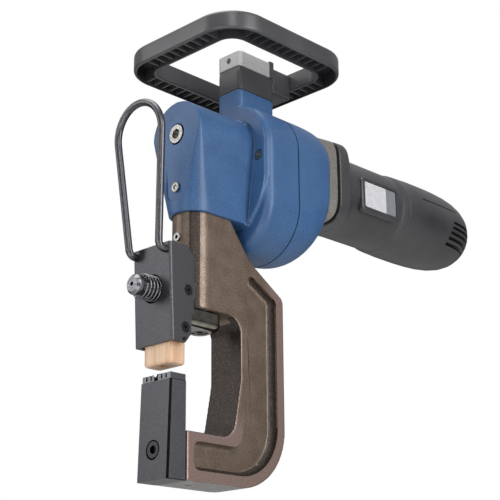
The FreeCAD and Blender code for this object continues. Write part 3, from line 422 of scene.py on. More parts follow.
low, high = box_of("c_frame")
half = high.x
ram_y, nose_y = 38.0, 13.5 + half
throat_top, throat_rear = 136.0, 67.0
arm_front, arm_top = low.y, 38.0
pocket_floor = half - 7.5
c_frame = slab("c_frame_forging", "X", [
    (ram_y, 216.0), (ram_y, throat_top), (throat_rear, throat_top, 14.0), (throat_rear, 85.0, 60.0),
    (throat_rear - 9.0, arm_top, 14.0), (arm_front, arm_top), (arm_front, low.z), (high.y, low.z, 52.0),
    (high.y, 160.5, 8.0), (78.0, 186.0, 20.0), (56.0, 216.0)], low.x, half)
nose = lathe("nose", "Z", (0.0, nose_y), [(throat_top, half), (high.z, half)])
column = block("column", (low.x, nose_y, throat_top), (half, 56.0, high.z))
combined(c_frame, "UNION", nose, column)
cast(c_frame, 0.95, 5)
for side_sign in (-1, 1):
    # the pocket's floor runs into its walls in a wide fillet, and its rim is left sharp by the mill
    pocket = slab("pocket", "X", [
        (16.0, 9.0, 6.0), (108.5, 9.0, 43.0), (108.5, 157.5, 6.0), (74.5, 177.0, 6.0), (74.5, 84.0, 50.0),
        (66.5, 31.0, 10.0), (16.0, 31.0, 6.0)], side_sign * pocket_floor, side_sign * (half + 4.0))
    rounded(pocket, 5.5, at("X", side_sign * pocket_floor), segments=5)
    combined(c_frame, "DIFFERENCE", pocket)
ram_bore = lathe("bore", "Z", (0.0, ram_y), [(throat_top - 5.0, 14.0), (high.z + 5.0, 14.0)])
thread_y, thread_radius, pin_z, pin_radius = 26.8, 2.5, 196.0, 3.5
base_thread = lathe("thread", "Z", (0.0, thread_y), [(-2.0, thread_radius), (12.0, thread_radius)], 32)
pin_bore = lathe("pin_bore", "Y", (0.0, pin_z), [(10.0, pin_radius), (21.5, pin_radius)], 48)
combined(c_frame, "DIFFERENCE", ram_bore, base_thread, pin_bore)
lacquer_and_painted_shade = [lacquered, painted_shade_steel]
painted(c_frame, *lacquer_and_painted_shade)


def painted_shade_faces(face):
    """The pockets' sloping walls on the rear and below, and the rear wall of the throat, which take the
    painted shade.
    """
    spot, way = face.calc_center_median() / MM, face.normal
    in_pocket = pocket_floor + 0.1 < abs(spot.x) < half - 0.2 and 10.0 < spot.y < 112.0 and abs(way.x) < 0.9
    in_throat = abs(spot.x) < half - 1.5 and 55.0 < spot.y < 68.0 and 40.0 < spot.z < 132.0 and way.y < -0.6
    return (in_pocket and (way.y < -0.3 or way.z > 0.35)) or in_throat


# painted shade: the pocket walls facing forward or up and the throat's rear wall go on the near-black slot
toned(c_frame, 1, painted_shade_faces)
done(c_frame, "frame", "forged_steel", ["c_frame"], *lacquer_and_painted_shade)


# ---- Ram bush and column pin: a bronze sleeve pressed into the column, and a zinc-plated roll pin
# whose open end shows above the bracket. Both are kept as the CAD has them.
def dressed(name, material):
    """Give a CAD node that is kept as it is its material."""
    for held in frame["nodes"][name].material_slots:
        held.material = material


# turned bronze is warm yellow-brown and evenly soft in its shine
dressed("ram_bush", grained("bearing_bronze", [(0.3, "#9C7440"), (0.7, "#B98D52")],
                            {"Metallic": 1.0, "Roughness": 0.35}, per_metre=400.0, detail=2.0))


def bare_metal(name, dark, light, roughness, grain_mm, depth):
    """A machined metal: fine tool marks change its tone and its gloss a little."""
    return grained(name, [(0.3, dark), (0.7, light)], {"Metallic": 1.0}, 1.0 / (grain_mm * MM), 3.0,
                   gloss=(roughness - 0.02, roughness + 0.03), relief=(depth, 0.05))


# zinc plating is bright but a little cloudy, so it reflects softly
zinc = bare_metal("steel_zinc_plated", "#6F6F6C", "#9A9A96", roughness=0.24, grain_mm=1.5, depth=0.05)
dressed("column_pin", zinc)


# ---- Die holder: a ground block of tool steel, black-oxided, screwed and dowelled to the arm.
# Its front leans back, its long edges are chamfered, and its flanks are ground after blacking.
def chamfered(piece, width, index, wanted):
    """Bevel edges that pass a test and put the new faces on a material slot."""
    pick(piece, "edges", wanted)
    bpy.ops.mesh.bevel(offset=width * MM, segments=1, affect="EDGES", material=index, clamp_overlap=True)
    bpy.ops.object.mode_set(mode="OBJECT")


def machined(name, source, edge, *materials):
    """A merged copy of a CAD node, with its sharp edges broken by a small round."""
    take(None)
    piece = bpy.data.objects.new(name, frame["nodes"][source].data.copy())
    bpy.context.scene.collection.objects.link(piece)
    take(piece)
    bpy.ops.mesh.customdata_custom_splitnormals_clear()
    bpy.ops.object.mode_set(mode="EDIT")
    bpy.ops.mesh.select_all(action="SELECT")
    bpy.ops.mesh.remove_doubles(threshold=SAME)
    bpy.ops.mesh.dissolve_limited(angle_limit=math.radians(0.5))
    take(piece)
    worked(piece, "BEVEL", width=edge * MM, segments=2, limit_method="ANGLE", angle_limit=math.radians(35),
           use_clamp_overlap=True)
    painted(piece, *materials)
    return piece


# black oxide keeps the grinding marks and is satin; the chamfers get a near-black painted shade, the ground
# flanks are paler
black_oxide = bare_metal("tool_steel_black_oxide", "#4A4A4D", "#59595C", roughness=0.42, grain_mm=1.2,
                         depth=0.03)
painted_shade_black = bare_metal("black_oxide_painted_shade", "#101012", "#1A1A1C", roughness=0.30, grain_mm=2.0, depth=0.03)
black_ground = bare_metal("black_oxide_ground", "#707175", "#808185", roughness=0.3, grain_mm=1.2, depth=0.0)
low, high = box_of("die_holder")
lean, screw_z = 2.6, 23.0
die_holder = slab("die_holder_block", "X", [
    (low.y, low.z), (high.y, low.z), (high.y, high.z), (low.y + lean, high.z)], low.x, high.x)
painted(die_holder, black_oxide, painted_shade_black, black_ground)
toned(die_holder, 2, lambda face: abs(face.normal.x) > 0.9)
# painted shade: the long chamfers go on the near-black slot
chamfered(die_holder, 1.5, 1, lambda edge: edge.calc_length() > 60 * MM)


def front_to_back(edge):
    """The short level edges of the flanks."""
    here, there = (v.co for v in edge.verts)
    return edge.calc_length() < 40 * MM and abs(here.z - there.z) < SAME and abs(here.y - there.y) > 5 * MM


# painted shade: the short level chamfers go on the near-black slot too
chamfered(die_holder, 0.6, 1, front_to_back)
counterbore = lathe("counterbore", "Y", (0.0, screw_z), [
    (-14.0, 8.1), (-10.9, 8.1), (-9.6, 7.5), (-1.8, 7.5), (-1.8, 4.2), (high.y + 1.0, 4.2)], 64)
combined(die_holder, "DIFFERENCE", counterbore)
done(die_holder, "frame", "black_oxide", ["die_holder"], black_oxide, painted_shade_black, black_ground)

# screws are blackened and oiled, so they are darker and a little shinier
black_steel = bare_metal("screw_steel_black", "#2E2E31", "#47474A", roughness=0.30, grain_mm=1.0, depth=0.05)
done(machined("die_holder_screw_m8", "die_holder_screw", 0.4, black_steel), "frame", "black_steel",
     ["die_holder_screw"], black_steel)
# ground tool steel is light, with fine marks of the wheel
tool_steel = bare_metal("tool_steel_ground", "#5C5D60", "#76777A", roughness=0.33, grain_mm=0.8, depth=0.05)
for name in ("die_dowels", "die_anvil", "die_plates"):
    dressed(name, tool_steel)
done(machined("die_block_slotted", "die_block", 0.3, tool_steel), "frame", "tool_steel", ["die_block"],
     tool_steel)


# ---- Ram and its foot: a round ground ram that slides in the bush, and a polished tongue under it
# that carries the bracket forward. The screw that joins them is set into the foot from below.
# polishing leaves no marks, so it reflects the most clearly
polished = bare_metal("steel_polished", "#77736A", "#918D84", roughness=0.14, grain_mm=6.0, depth=0.0)
dressed("ram", tool_steel)
low, high = box_of("ram_foot")
foot = slab("ram_foot_polished", "Z", oblong(low.x, low.y, high.x, high.y, 1.5, 1.5, 11.0, 11.0),
            low.z, high.z)
rounded(foot, 5.5, at("Z", low.z), segments=6)
screw_low, screw_high = box_of("foot_screw")
screw_y = (screw_low.y + screw_high.y) / 2
head_room, head_top = screw_high.x + 0.3, screw_low.z + 6.5
screw_room = lathe("screw_room", "Z", (0.0, screw_y), [
    (low.z - 1.0, head_room), (head_top, head_room), (head_top, 4.3), (high.z + 1.0, 4.3)], 48)
combined(foot, "DIFFERENCE", screw_room)
done(foot, "ram_set", "tool_steel", ["ram_foot"], polished)
dressed("foot_screw", black_steel)


# ---- Punch bracket: a folded plate of black-oxided steel round a steel punch holder.
# Countersunk screws hold its cheeks, and pins under them keep the stripper from dropping out.
bracket = machined("punch_bracket_folded", "punch_bracket", 0.35, black_oxide)
bolt_z = 147.5
window = lathe("bolt_window", "Y", (0.0, bolt_z), [(-22.0, 11.3), (-9.8, 11.3)], 64)
combined(bracket, "DIFFERENCE", window)
done(bracket, "ram_set", "black_oxide", ["punch_bracket"], black_oxide)
# painted shade: the punch holder, set deep in the bracket, gets the near-black finish for the shade it sits
# in
dressed("punch_holder", painted_shade_black)
screw_grey = bare_metal("screw_steel_grey", "#55555A", "#707074", roughness=0.28, grain_mm=0.6, depth=0.04)
done(machined("torx_screws_countersunk", "torx_screws", 0.15, black_steel), "ram_set", "zinc_steel",
     ["torx_screws"], screw_grey)
dressed("punch", tool_steel)
dressed("bracket_pins", black_steel)


def coil(name, along, centre, start, end, outer, wire, turns):
    """A wound spring: a round wire carried round and along an axis, with flat closed ends."""
    first, second, third = AXES[along]
    take(None)
    bpy.ops.mesh.primitive_circle_add(vertices=14, radius=wire / 2 * MM)
    piece = bpy.context.object
    piece.name = name
    for vertex in piece.data.vertices:
        u, v = vertex.co.x, vertex.co.y
        vertex.co = (0.0, 0.0, 0.0)
        vertex.co[first] = u + (outer - wire / 2) * MM
        vertex.co[third] = v
    steps = int(turns * 40)
    worked(piece, "SCREW", axis=along, angle=turns * 2 * math.pi, screw_offset=(end - start - wire) * MM,
           steps=steps, render_steps=steps, use_merge_vertices=False)
    shift = [0.0, 0.0, 0.0]
    shift[first], shift[second], shift[third] = centre[0] * MM, centre[1] * MM, (start + wire / 2) * MM
    for vertex in piece.data.vertices:
        vertex.co = vertex.co + Vector(shift)
    pick(piece, "edges", lambda edge: edge.is_boundary)
    bpy.ops.mesh.fill_holes(sides=0)
    bpy.ops.mesh.select_all(action="SELECT")
    bpy.ops.mesh.normals_make_consistent(inside=False)
    take(piece)
    return piece


low, high = box_of("stripper_spring")
stripper_spring = coil("stripper_spring_coil", "Z", (0.0, 0.0), low.z, high.z, high.x, wire=1.6, turns=6)
done(stripper_spring, "ram_set", "black_steel", ["stripper_spring"], black_steel)
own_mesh(stripper_spring)


# ---- Stripper: a block of cast polyurethane that presses the sheets flat round the punch.
# It is cut from a peach-coloured bar, so faint upright saw bands show in its flanks.
# cast polyurethane lets a little light in, so its edges glow softly
polyurethane, tree, place = started("polyurethane_cast")
bands = node(tree, "Mapping", {"vector_type": "POINT"}, {
    "Vector": place, "Scale": (180.0, 180.0, 12.0)})
streak = node(tree, "TexNoise", inputs={"Vector": bands, "Scale": 1.0, "Detail": 3.0})
peach = node(tree, "ValToRGB", {"stops": [(0.3, "#AF8A6D"), (0.5, "#BF9E82"), (0.7, "#CFB49B")]},
             {"Fac": streak})
finished(tree, {
    "Base Color": peach, "Roughness": 0.38, "Subsurface Weight": 0.08,
    "Subsurface Radius": (0.004, 0.002, 0.001), "Subsurface Scale": 0.5, "Specular IOR Level": 0.4})
low, high = box_of("stripper_block")
stripper = slab("stripper_cushion", "Z", oblong(low.x, low.y, high.x, high.y, 4.0), low.z, high.z)
rounded(stripper, 2.6, at("Z", low.z))
punch_way = lathe("punch_way", "Z", (0.0, 0.0), [
    (low.z - 1, 5.2), (low.z, 5.2), (low.z + 0.8, 4.4), (high.z + 1, 4.4)], 48)
combined(stripper, "DIFFERENCE", punch_way)
done(stripper, "stripper", "polyurethane", ["stripper_block"], polyurethane)


# ---- Release bolt and its spring: a turned bolt of black steel with a drilled, chamfered head.
# A wound spring round its shank holds it out of the bracket's face.
low, high = box_of("release_bolt")
front = low.y
release_bolt = lathe("release_bolt_turned", "Y", (0.0, bolt_z), [
    (front + 3.0, 1.3), (front, 1.7), (front, 3.4), (front + 0.35, 3.7), (front + 0.35, 4.2), (front, 4.5),
    (front, 5.9), (front + 2.1, 8.05), (front + 2.6, 8.25), (front + 5.4, 8.25), (front + 6.2, 7.6),
    (front + 7.0, 6.9), (-13.5, 6.9), (-13.5, 4.5), (high.y, 4.5), (high.y, 1.3), (front + 3.0, 1.3)], 72)
# turned steel, thinly oiled, shows bright rings on dark grey
bolt_steel = bare_metal("bolt_steel_turned", "#66666A", "#7C7C80", roughness=0.28, grain_mm=1.0, depth=0.03)
done(release_bolt, "bolt", "black_steel", ["release_bolt"], bolt_steel, angle=28)
low, high = box_of("bolt_spring")
bolt_spring = coil("bolt_spring_coil", "Y", (0.0, bolt_z), low.y, high.y, high.x, wire=1.7, turns=4.5)
spring_steel = bare_metal("spring_steel_oiled", "#5A5A5E", "#7C7C80", roughness=0.25, grain_mm=1.0,
                          depth=0.03)
done(bolt_spring, "ram_set", "black_steel", ["bolt_spring"], spring_steel)
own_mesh(bolt_spring)


# ---- Wire bail: a finger loop of bent round wire, plated gunmetal grey.
# Its satin plating draws long soft highlights along the wire.
dressed("wire_bail", bare_metal("wire_gunmetal", "#4A4A4D", "#616164", roughness=0.30, grain_mm=1.5,
                                depth=0.04))


# ---- Gear head housing: one aluminium casting for the head over the column, the front of the gear
# box and the tower, coated in fine-textured blue powder. Faces and seats are milled after casting.
blue_coat, tree, place = started("aluminium_blue_powder_coat")
# the coat's texture is about 0.5 mm across, drawn at 1 mm so that it shows
orange_peel = node(tree, "TexNoise", inputs={"Vector": place, "Scale": 1000.0, "Detail": 2.0})
cloud = node(tree, "TexNoise", inputs={"Vector": place, "Scale": 40.0, "Detail": 3.0})
drift = node(tree, "Math", {"operation": "MULTIPLY"}, {0: cloud, 1: 0.3})
tone = node(tree, "Math", {"operation": "MULTIPLY_ADD"}, {0: orange_peel, 1: 0.7, 2: drift})
blue = node(tree, "ValToRGB", {"stops": [(0.3, "#1F3D61"), (0.5, "#294B73"), (0.7, "#375B84")]},
            {"Fac": tone})
gloss = node(tree, "MapRange", inputs={"Value": orange_peel, "To Min": 0.36, "To Max": 0.5})
relief = node(tree, "Bump", inputs={"Strength": 0.35, "Distance": 0.12 * MM, "Height": orange_peel})
finished(tree, {"Specular IOR Level": 0.5, "Base Color": blue, "Roughness": gloss,
                "Normal": relief})

low, high = box_of("gear_head_housing")
head_front, flange_y, split_y = low.y, 71.0, 111.0
crank_z, counter_z, box_radius = 284.5, 237.25, high.x
skirt_z, skirt_half, square_z, arch = 216.0, 19.7, 290.0, 28.5
rear = flange_y + 10.0


def loft(name, along, rings):
    """Join flat rings of equally many points into one closed skin; a ring is (place along, points)."""
    first, second, third = AXES[along]
    take(None)
    for place, points in rings:
        bpy.ops.mesh.primitive_circle_add(vertices=len(points), radius=1.0)
        loop = bpy.context.object
        for vertex, point in zip(loop.data.vertices, points):
            vertex.co[first], vertex.co[second], vertex.co[third] = point[0] * MM, point[1] * MM, place * MM
        loop.name = name + "_ring"
    loops = [o for o in bpy.context.scene.objects if o.name.startswith(name + "_ring")]
    take(loops[0])
    for loop in loops:
        loop.select_set(True)
    bpy.ops.object.join()
    piece = bpy.context.object
    piece.name = name
    bpy.ops.object.mode_set(mode="EDIT")
    bpy.ops.mesh.select_mode(type="EDGE")
    bpy.ops.mesh.select_all(action="SELECT")
    bpy.ops.mesh.bridge_edge_loops()
    for end in (rings[0][0], rings[-1][0]):
        at_end = at(along, end)
        pick(piece, "edges", lambda edge: edge.is_boundary and at_end(edge))
        bpy.ops.mesh.edge_face_add()
    bpy.ops.mesh.select_all(action="SELECT")
    bpy.ops.mesh.normals_make_consistent(inside=False)
    take(piece)
    return piece


def head_ring(level, grow, front, back):
    """The head's outline at a height: a rounded nose below that squares up towards the arch."""
    if level <= crank_z:
        reach = skirt_half + (arch - skirt_half) * (level - skirt_z) / (crank_z - skirt_z)
    else:
        reach = math.sqrt(max(0.01, arch ** 2 - (level - crank_z) ** 2))
    reach += grow
    corner = min(reach - 0.05, max(1.0, skirt_half * (square_z - level) / (square_z - skirt_z)))
    steps = 14
    right = [(reach - corner + corner * math.sin(i * math.pi / 2 / steps),
              front + corner - corner * math.cos(i * math.pi / 2 / steps)) for i in range(steps + 1)]
    left = [(-x, y) for x, y in reversed(right)]
    return right + [(reach, back), (-reach, back)] + left


levels = [skirt_z, 220, 226, 232, 240, 248, 256, 264, 272, 280, 286, 292, 297, 301, 304.5, 307.5, 309.8,
          311.4, 312.4, 312.9]


def half_round(centre, radius, begin):
    """Half a circle of points, counted anticlockwise from an angle in degrees."""
    turns = [math.radians(begin + i * 180 / 56) for i in range(57)]
    return [(radius * math.cos(a), centre + radius * math.sin(a)) for a in turns]


def oval_ring(inset):
    """The gear box's outline, moved in: two half circles joined by straight flanks."""
    return half_round(crank_z, box_radius - inset, 0) + half_round(counter_z, box_radius - inset, 180)


def oval(name, start, end, inset=0.0, soft_start=0.0, soft_end=0.0):
    """The gear box's outline pulled from front to rear, with its two rims rounded."""
    turns = [math.radians(7.5 * i) for i in range(13)]
    front = list(reversed(turns)) if soft_start else turns[-1:]
    back = turns if soft_end else turns[-1:]
    rings = [(start + soft_start * (1 - math.sin(a)), oval_ring(inset + soft_start * (1 - math.cos(a))))
             for a in front]
    rings += [(end - soft_end * (1 - math.sin(a)), oval_ring(inset + soft_end * (1 - math.cos(a))))
              for a in back]
    return loft(name, "Y", rings)


barrel = oval("gear_head_casting", flange_y + 2.6, split_y, soft_start=7.0, soft_end=0.3)
pad = slab("flange_pad", "Y", half_round(crank_z, 41.8, 0) + [
    (-41.8, 241.0, 45.0), (-20.5, 214.5, 3.0), (20.5, 214.5, 3.0), (41.8, 241.0, 45.0)],
           flange_y, flange_y + 12.0)
groove = loft("groove", "Z", [(z, head_ring(z, 2.6, head_front, flange_y + 2.2)) for z in levels])
tower_half, tower_rear, tower_low = 13.7, 114.0, 300.0
tower = slab("tower", "Z", oblong(-tower_half, flange_y, tower_half, tower_rear, 4.0), tower_low, high.z)
head = loft("head", "Z", [(z, head_ring(z, 0.0, head_front, rear)) for z in levels])
combined(barrel, "UNION", pad)
combined(barrel, "DIFFERENCE", groove)
combined(barrel, "UNION", head, tower)
cast(barrel, 0.85, 3)
thumb_low, thumb_high, thumb_lean = 227.0, 262.0, 2.3
thumb = slab("thumb_recess", "Y", [
    (-11.0, thumb_low, 8.0), (11.0, thumb_low, 8.0), (11.0, thumb_high), (-11.0, thumb_high)], 6.0, 12.4)
for vertex in thumb.data.vertices:
    if vertex.co.y > 10 * MM:
        vertex.co.y -= max(0.0, vertex.co.z / MM - thumb_low) / (thumb_high - thumb_low) * thumb_lean * MM
over_cover = block("over_cover", (-60.0, split_y, 180.0), (60.0, split_y + 20.0, crank_z + box_radius + 0.5))
ram_room = lathe("ram_room", "Y", (0.0, crank_z), [(head_front + 11.0, 25.1), (head_front + 45.0, 25.1)], 72)
ram_way = block("ram_way", (-20.0, head_front + 11.0, 255.0), (20.0, head_front + 45.0, crank_z))
gear_room = oval("gear_room", 78.0, split_y + 5.0, 4.0)
crank_seat = lathe("crank_seat", "Y", (0.0, crank_z), [(50.0, 15.0), (80.0, 15.0)], 64)
counter_seat = lathe("counter_seat", "Y", (0.0, counter_z), [(73.0, 11.0), (80.0, 11.0)], 64)
pivot_hole = lathe("pivot_hole", "Y", (0.0, crank_z), [
    (8.0, 9.5), (10.6, 9.5), (11.2, 8.7), (17.5, 8.6), (17.5, 5.0), (24.0, 5.0)], 64)
head_screw_z, column_y, loose, snug = 238.0, 31.0, 18.1, 17.5
screw_hole = lathe("screw_hole", "Y", (0.0, head_screw_z), [
    (6.0, 4.7), (11.9, 4.7), (11.9, 2.5), (20.0, 2.5)], 40)
column_way = lathe("column_way", "Z", (0.0, column_y), [
    (210.0, loose), (219.0, loose), (219.0, snug), (261.0, snug)], 72)
column_slot = block("column_slot", (-loose, column_y, 210.0), (loose, 56.2, 261.0))
combined(gear_room, "UNION", crank_seat, counter_seat, ram_room, ram_way)
combined(barrel, "DIFFERENCE", thumb, over_cover, gear_room, pivot_hole, screw_hole, column_way, column_slot)
flange_screw_x, flange_screw_z = 35.0, 273.5
for x in (-flange_screw_x, flange_screw_x):
    seat = lathe("screw_seat", "Y", (x, flange_screw_z), [
        (68.0, 4.7), (73.9, 4.7), (73.9, 2.5), (80.0, 2.5)], 40)
    combined(barrel, "DIFFERENCE", seat)
done(barrel, "frame", "blue_paint", ["gear_head_housing"], blue_coat)
for name, source in (("flange_screws_m5", "flange_screws"), ("head_screw_m5", "head_screw"),
                     ("pivot_screw_m10", "crank_pivot_screw")):
    done(machined(name, source, 0.35, zinc), "frame", "zinc_steel", [source], zinc)


# ---- Gear housing cover: the domed rear half of the gear box, cast and coated like the front,
# with a thin paper gasket between them that shows as a fine dark line.
motor_z = 278.75
low, high = box_of("gear_housing_cover")
depth = high.y - low.y
rings = []
for a in (math.radians(5 * i) for i in range(19)):
    drawn_in = 1 - math.cos(a)
    upper = half_round(crank_z, box_radius - 8.0 * drawn_in ** 2, 0)
    lower = half_round(counter_z + 34.0 * drawn_in, box_radius - 8.0 * drawn_in ** 1.5, 180)
    rings.append((low.y + depth * math.sin(a), upper + lower))
cover = loft("gear_cover_domed", "Y", rings)
rear_room = oval("rear_room", low.y - 5.0, 130.0, 4.0)
rear_seat = lathe("rear_seat", "Y", (0.0, counter_z), [(125.0, 11.0), (138.0, 11.0)], 64)
motor_seat = lathe("motor_seat", "Y", (0.0, motor_z), [
    (125.0, 7.0), (144.0, 7.0), (144.0, 13.0), (165.0, 13.0)], 64)
combined(cover, "DIFFERENCE", rear_room, rear_seat, motor_seat)
done(cover, "frame", "blue_paint", ["gear_housing_cover"], blue_coat)
# oiled gasket paper is near black and quite dull
dressed("housing_gasket", grained("gasket_paper", [(0.3, "#101216"), (0.7, "#1C2026")], {"Roughness": 0.9},
                                  per_metre=1500.0, detail=2.0))


# ---- Gears, crank and bearings: hardened steel that runs sealed in the housing.
# They keep their CAD shapes, since they only show when the housing is taken off.
for name in ("bearing_plate", "crank_shaft", "crank_roller", "crank_bearings", "crank_gear", "countershaft",
             "counter_bearings", "counter_pinion", "counter_gear"):
    dressed(name, tool_steel)


# ---- Motor adapter: a bare die-cast aluminium ring between the domed cover and the motor.
# It is left as cast, so it is grey and finely rough.
die_cast = grained("aluminium_die_cast", [(0.3, "#77736E"), (0.7, "#938F89")],
                   {"Metallic": 0.8, "Roughness": 0.45}, per_metre=700.0, detail=3.0, relief=(0.3, 0.1))


def squared(reach, power):
    """A ring between a circle and a rounded square: a power of 2 is the circle."""
    ring = []
    for i in range(128):
        a = i * math.pi / 64
        radius = reach / (abs(math.cos(a)) ** power + abs(math.sin(a)) ** power) ** (1 / power)
        ring.append((radius * math.cos(a), motor_z + radius * math.sin(a)))
    return ring


adapter = loft("motor_adapter_cast", "Y", [
    (134.0, squared(38.0, 4.0)), (158.0, squared(39.0, 4.6)), (166.4, squared(39.2, 5.0)),
    (167.0, squared(38.6, 5.0))])
spigot = lathe("spigot", "Y", (0.0, motor_z), [(160.0, 33.0), (177.0, 33.0)])
combined(adapter, "UNION", spigot)
adapter_bore = lathe("adapter_bore", "Y", (0.0, motor_z), [(150.0, 26.0), (180.0, 26.0)])
slot_under = slab("slot_under", "X", oblong(146.0, 244.0, 159.0, 247.0, 1.4), 30.0, 44.0)
inside_cover = oval("inside_cover", 100.0, 152.0, 6.0)
combined(adapter, "DIFFERENCE", adapter_bore, slot_under, inside_cover)
done(adapter, "frame", "cast_aluminium", ["motor_adapter"], die_cast)


# ---- Motor housing and cap: moulded glass-filled polyamide, dark grey with a fine spark-eroded
# grain. The housing has a flange in front and a raised frame round the label.
# the mould grain is about 0.4 mm, drawn at 0.8 mm so that it shows
polyamide = grained("polyamide_dark_grained", [(0.3, "#242426"), (0.7, "#333335")],
                    {"Specular IOR Level": 0.6}, per_metre=1250.0, detail=2.0, cloud=25.0,
                    gloss=(0.3, 0.44), relief=(0.4, 0.08))
low, high = box_of("motor_housing")
wall, motor_bore = high.y - 12.0, 33.2
housing = loft("motor_housing_moulded", "Y", [(low.y + y, squared(reach, power)) for y, reach, power in (
    (0.0, 38.6, 5.0), (0.8, 39.5, 5.0), (10.0, 39.8, 5.0), (12.0, 39.5, 4.8), (13.5, 38.9, 4.2),
    (15.5, 37.9, 3.4), (18.0, 37.1, 2.8), (22.0, 36.7, 2.4), (28.0, 36.5, 2.1), (36.0, 36.5, 2.0),
    (90.0, 36.5, 2.0), (92.5, 36.9, 2.0), (94.5, 37.8, 2.0), (100.4, 38.2, 2.0), (101.0, 37.5, 2.0))])
motor_room = lathe("motor_room", "Y", (0.0, motor_z), [(low.y - 2.0, motor_bore), (wall, motor_bore)])
rear_hole = lathe("rear_hole", "Y", (0.0, motor_z), [(wall - 1.0, 11.0), (high.y + 1.0, 11.0)], 64)
combined(housing, "DIFFERENCE", motor_room, rear_hole)
frame_face = 38.2
frame_pad = slab("label_frame", "X", oblong(201.5, 257.5, 254.5, 290.5, 6.0), 33.5, frame_face)
rounded(frame_pad, 1.6, at("X", frame_face))
label_low, label_high = box_of("label_plate")
gap = 0.4
window = slab("label_window", "X", oblong(label_low.y - gap, label_low.z - gap, label_high.y + gap,
                                          label_high.z + gap, 2.0), label_low.x, 42.0)
slider_low, slider_high = box_of("switch_slider")
slider_way = slab("slider_way", "X", oblong(slider_low.y - 0.5, motor_z - 7.5, slider_high.y + 6.5,
                                            motor_z + 7.5, 2.0), -46.0, -34.8)
combined(housing, "UNION", frame_pad)
combined(housing, "DIFFERENCE", window, slider_way)
done(housing, "frame", "dark_plastic", ["motor_housing"], polyamide)

low, high = box_of("motor_cap")
crown = [(0.0, 35.0), (0.0, 37.6), (0.6, 38.2), (14.0, 38.8), (28.0, 39.0), (42.0, 39.0), (56.0, 38.7),
         (70.0, 37.8), (82.0, 36.2), (92.0, 33.8), (100.0, 30.6), (106.0, 26.8), (110.0, 22.4), (112.0, 17.0)]
inside = [(0.0, 10.0), (0.0, 5.0), (-3.0, 5.0), (-3.5, 10.0), (-12.0, 22.0), (-40.0, 32.0)]
cap = lathe("motor_cap_moulded", "Y", (0.0, motor_z), [(low.y + y, radius) for y, radius in crown] + [
    (high.y + y, radius) for y, radius in inside] + [(low.y, 35.0)], 128)
lowest_vent, vent_step, vent_half = motor_z - 21.0, 5.4, 1.4
for i in range(5):
    z = lowest_vent + i * vent_step
    for side_sign in (-1, 1):
        vent = slab("vent", "X", oblong(
            high.y - 52.0 + i * 2, z - vent_half, high.y - 6.0, z + vent_half, 1.35),
                    *sorted((side_sign * 20.0, side_sign * 48.0)))
        combined(cap, "DIFFERENCE", vent)
    if i < 2:
        # a long thin finger groove runs along each flank above the vents
        side_sign = 2 * i - 1
        crease = slab("crease", "X", oblong(
            high.y - 92.0, motor_z + 12.4, high.y - 36.0, motor_z + 13.6, 0.55),
                      *sorted((side_sign * 34.0, side_sign * 48.0)))
        combined(cap, "DIFFERENCE", crease)
done(cap, "frame", "dark_plastic", ["motor_cap"], polyamide)


# ---- Label, slider and gland: a plain white enamelled plate in the housing's frame, a black ribbed
# slider switch on the other side, and a rubber gland where the mains lead would come out.
# stoved enamel is smooth and a little glossy; a plain grey band marks the rear third of the plate
band_y = 236.0
enamel, tree, place = started("plate_white_enamel")
along = node(tree, "SeparateXYZ", inputs={0: place}).outputs["Y"]
band = node(tree, "Math", {"operation": "GREATER_THAN"}, {0: along, 1: band_y * MM})
dust = node(tree, "TexNoise", inputs={"Vector": place, "Scale": 300.0, "Detail": 3.0})
pale = node(tree, "ValToRGB", {"stops": [(0.3, "#A9A9AC"), (0.7, "#B6B6B9")]}, {"Fac": dust})
stripe = node(tree, "ValToRGB", {"stops": [(0.3, "#66686C"), (0.7, "#727478")]}, {"Fac": dust})
banded = node(tree, "Mix", {"data_type": "RGBA"}, {
    MIX_BY: band, MIX_FROM: pale, MIX_TO: stripe})
finished(tree, {"Base Color": banded.outputs[MIX_OUT], "Roughness": 0.3, "Specular IOR Level": 0.5})
label = slab("label_plate_plain", "X", oblong(label_low.y, label_low.z, label_high.y, label_high.z, 1.6),
             label_low.x, label_high.x)
rounded(label, 0.25, at("X", label_high.x), segments=2)
done(label, "frame", "label_white", ["label_plate"], enamel)

# the slider is moulded in solid black, with a satin face
slider_black = grained("slider_black_moulded", [(0.3, "#0C0C0D"), (0.7, "#161617")], {"Roughness": 0.45},
                       per_metre=900.0, detail=2.0)
slider = slab("switch_slider_ribbed", "X", oblong(
    slider_low.y, slider_low.z, slider_high.y, slider_high.z, 1.8), slider_low.x, slider_high.x)
rounded(slider, 0.8, at("X", slider_low.x), segments=3)
for i in range(5):
    y = slider_low.y + 3.0 + i * 3.0
    groove = block("grip", (slider_low.x - 1.0, y - 0.6, motor_z - 5.5),
                   (slider_low.x + 0.9, y + 0.6, motor_z + 5.5))
    combined(slider, "DIFFERENCE", groove)
done(slider, "switch", "slider_plastic", ["switch_slider"], slider_black)

# rubber is dull, with a faint grey bloom
rubber = grained("rubber_black", [(0.3, "#121212"), (0.7, "#1F1F1F")],
                 {"Roughness": 0.7, "Specular IOR Level": 0.3}, per_metre=200.0, detail=3.0)
done(machined("cable_gland_rubber", "cable_gland", 0.5, rubber), "frame", "black_rubber", ["cable_gland"],
     rubber)


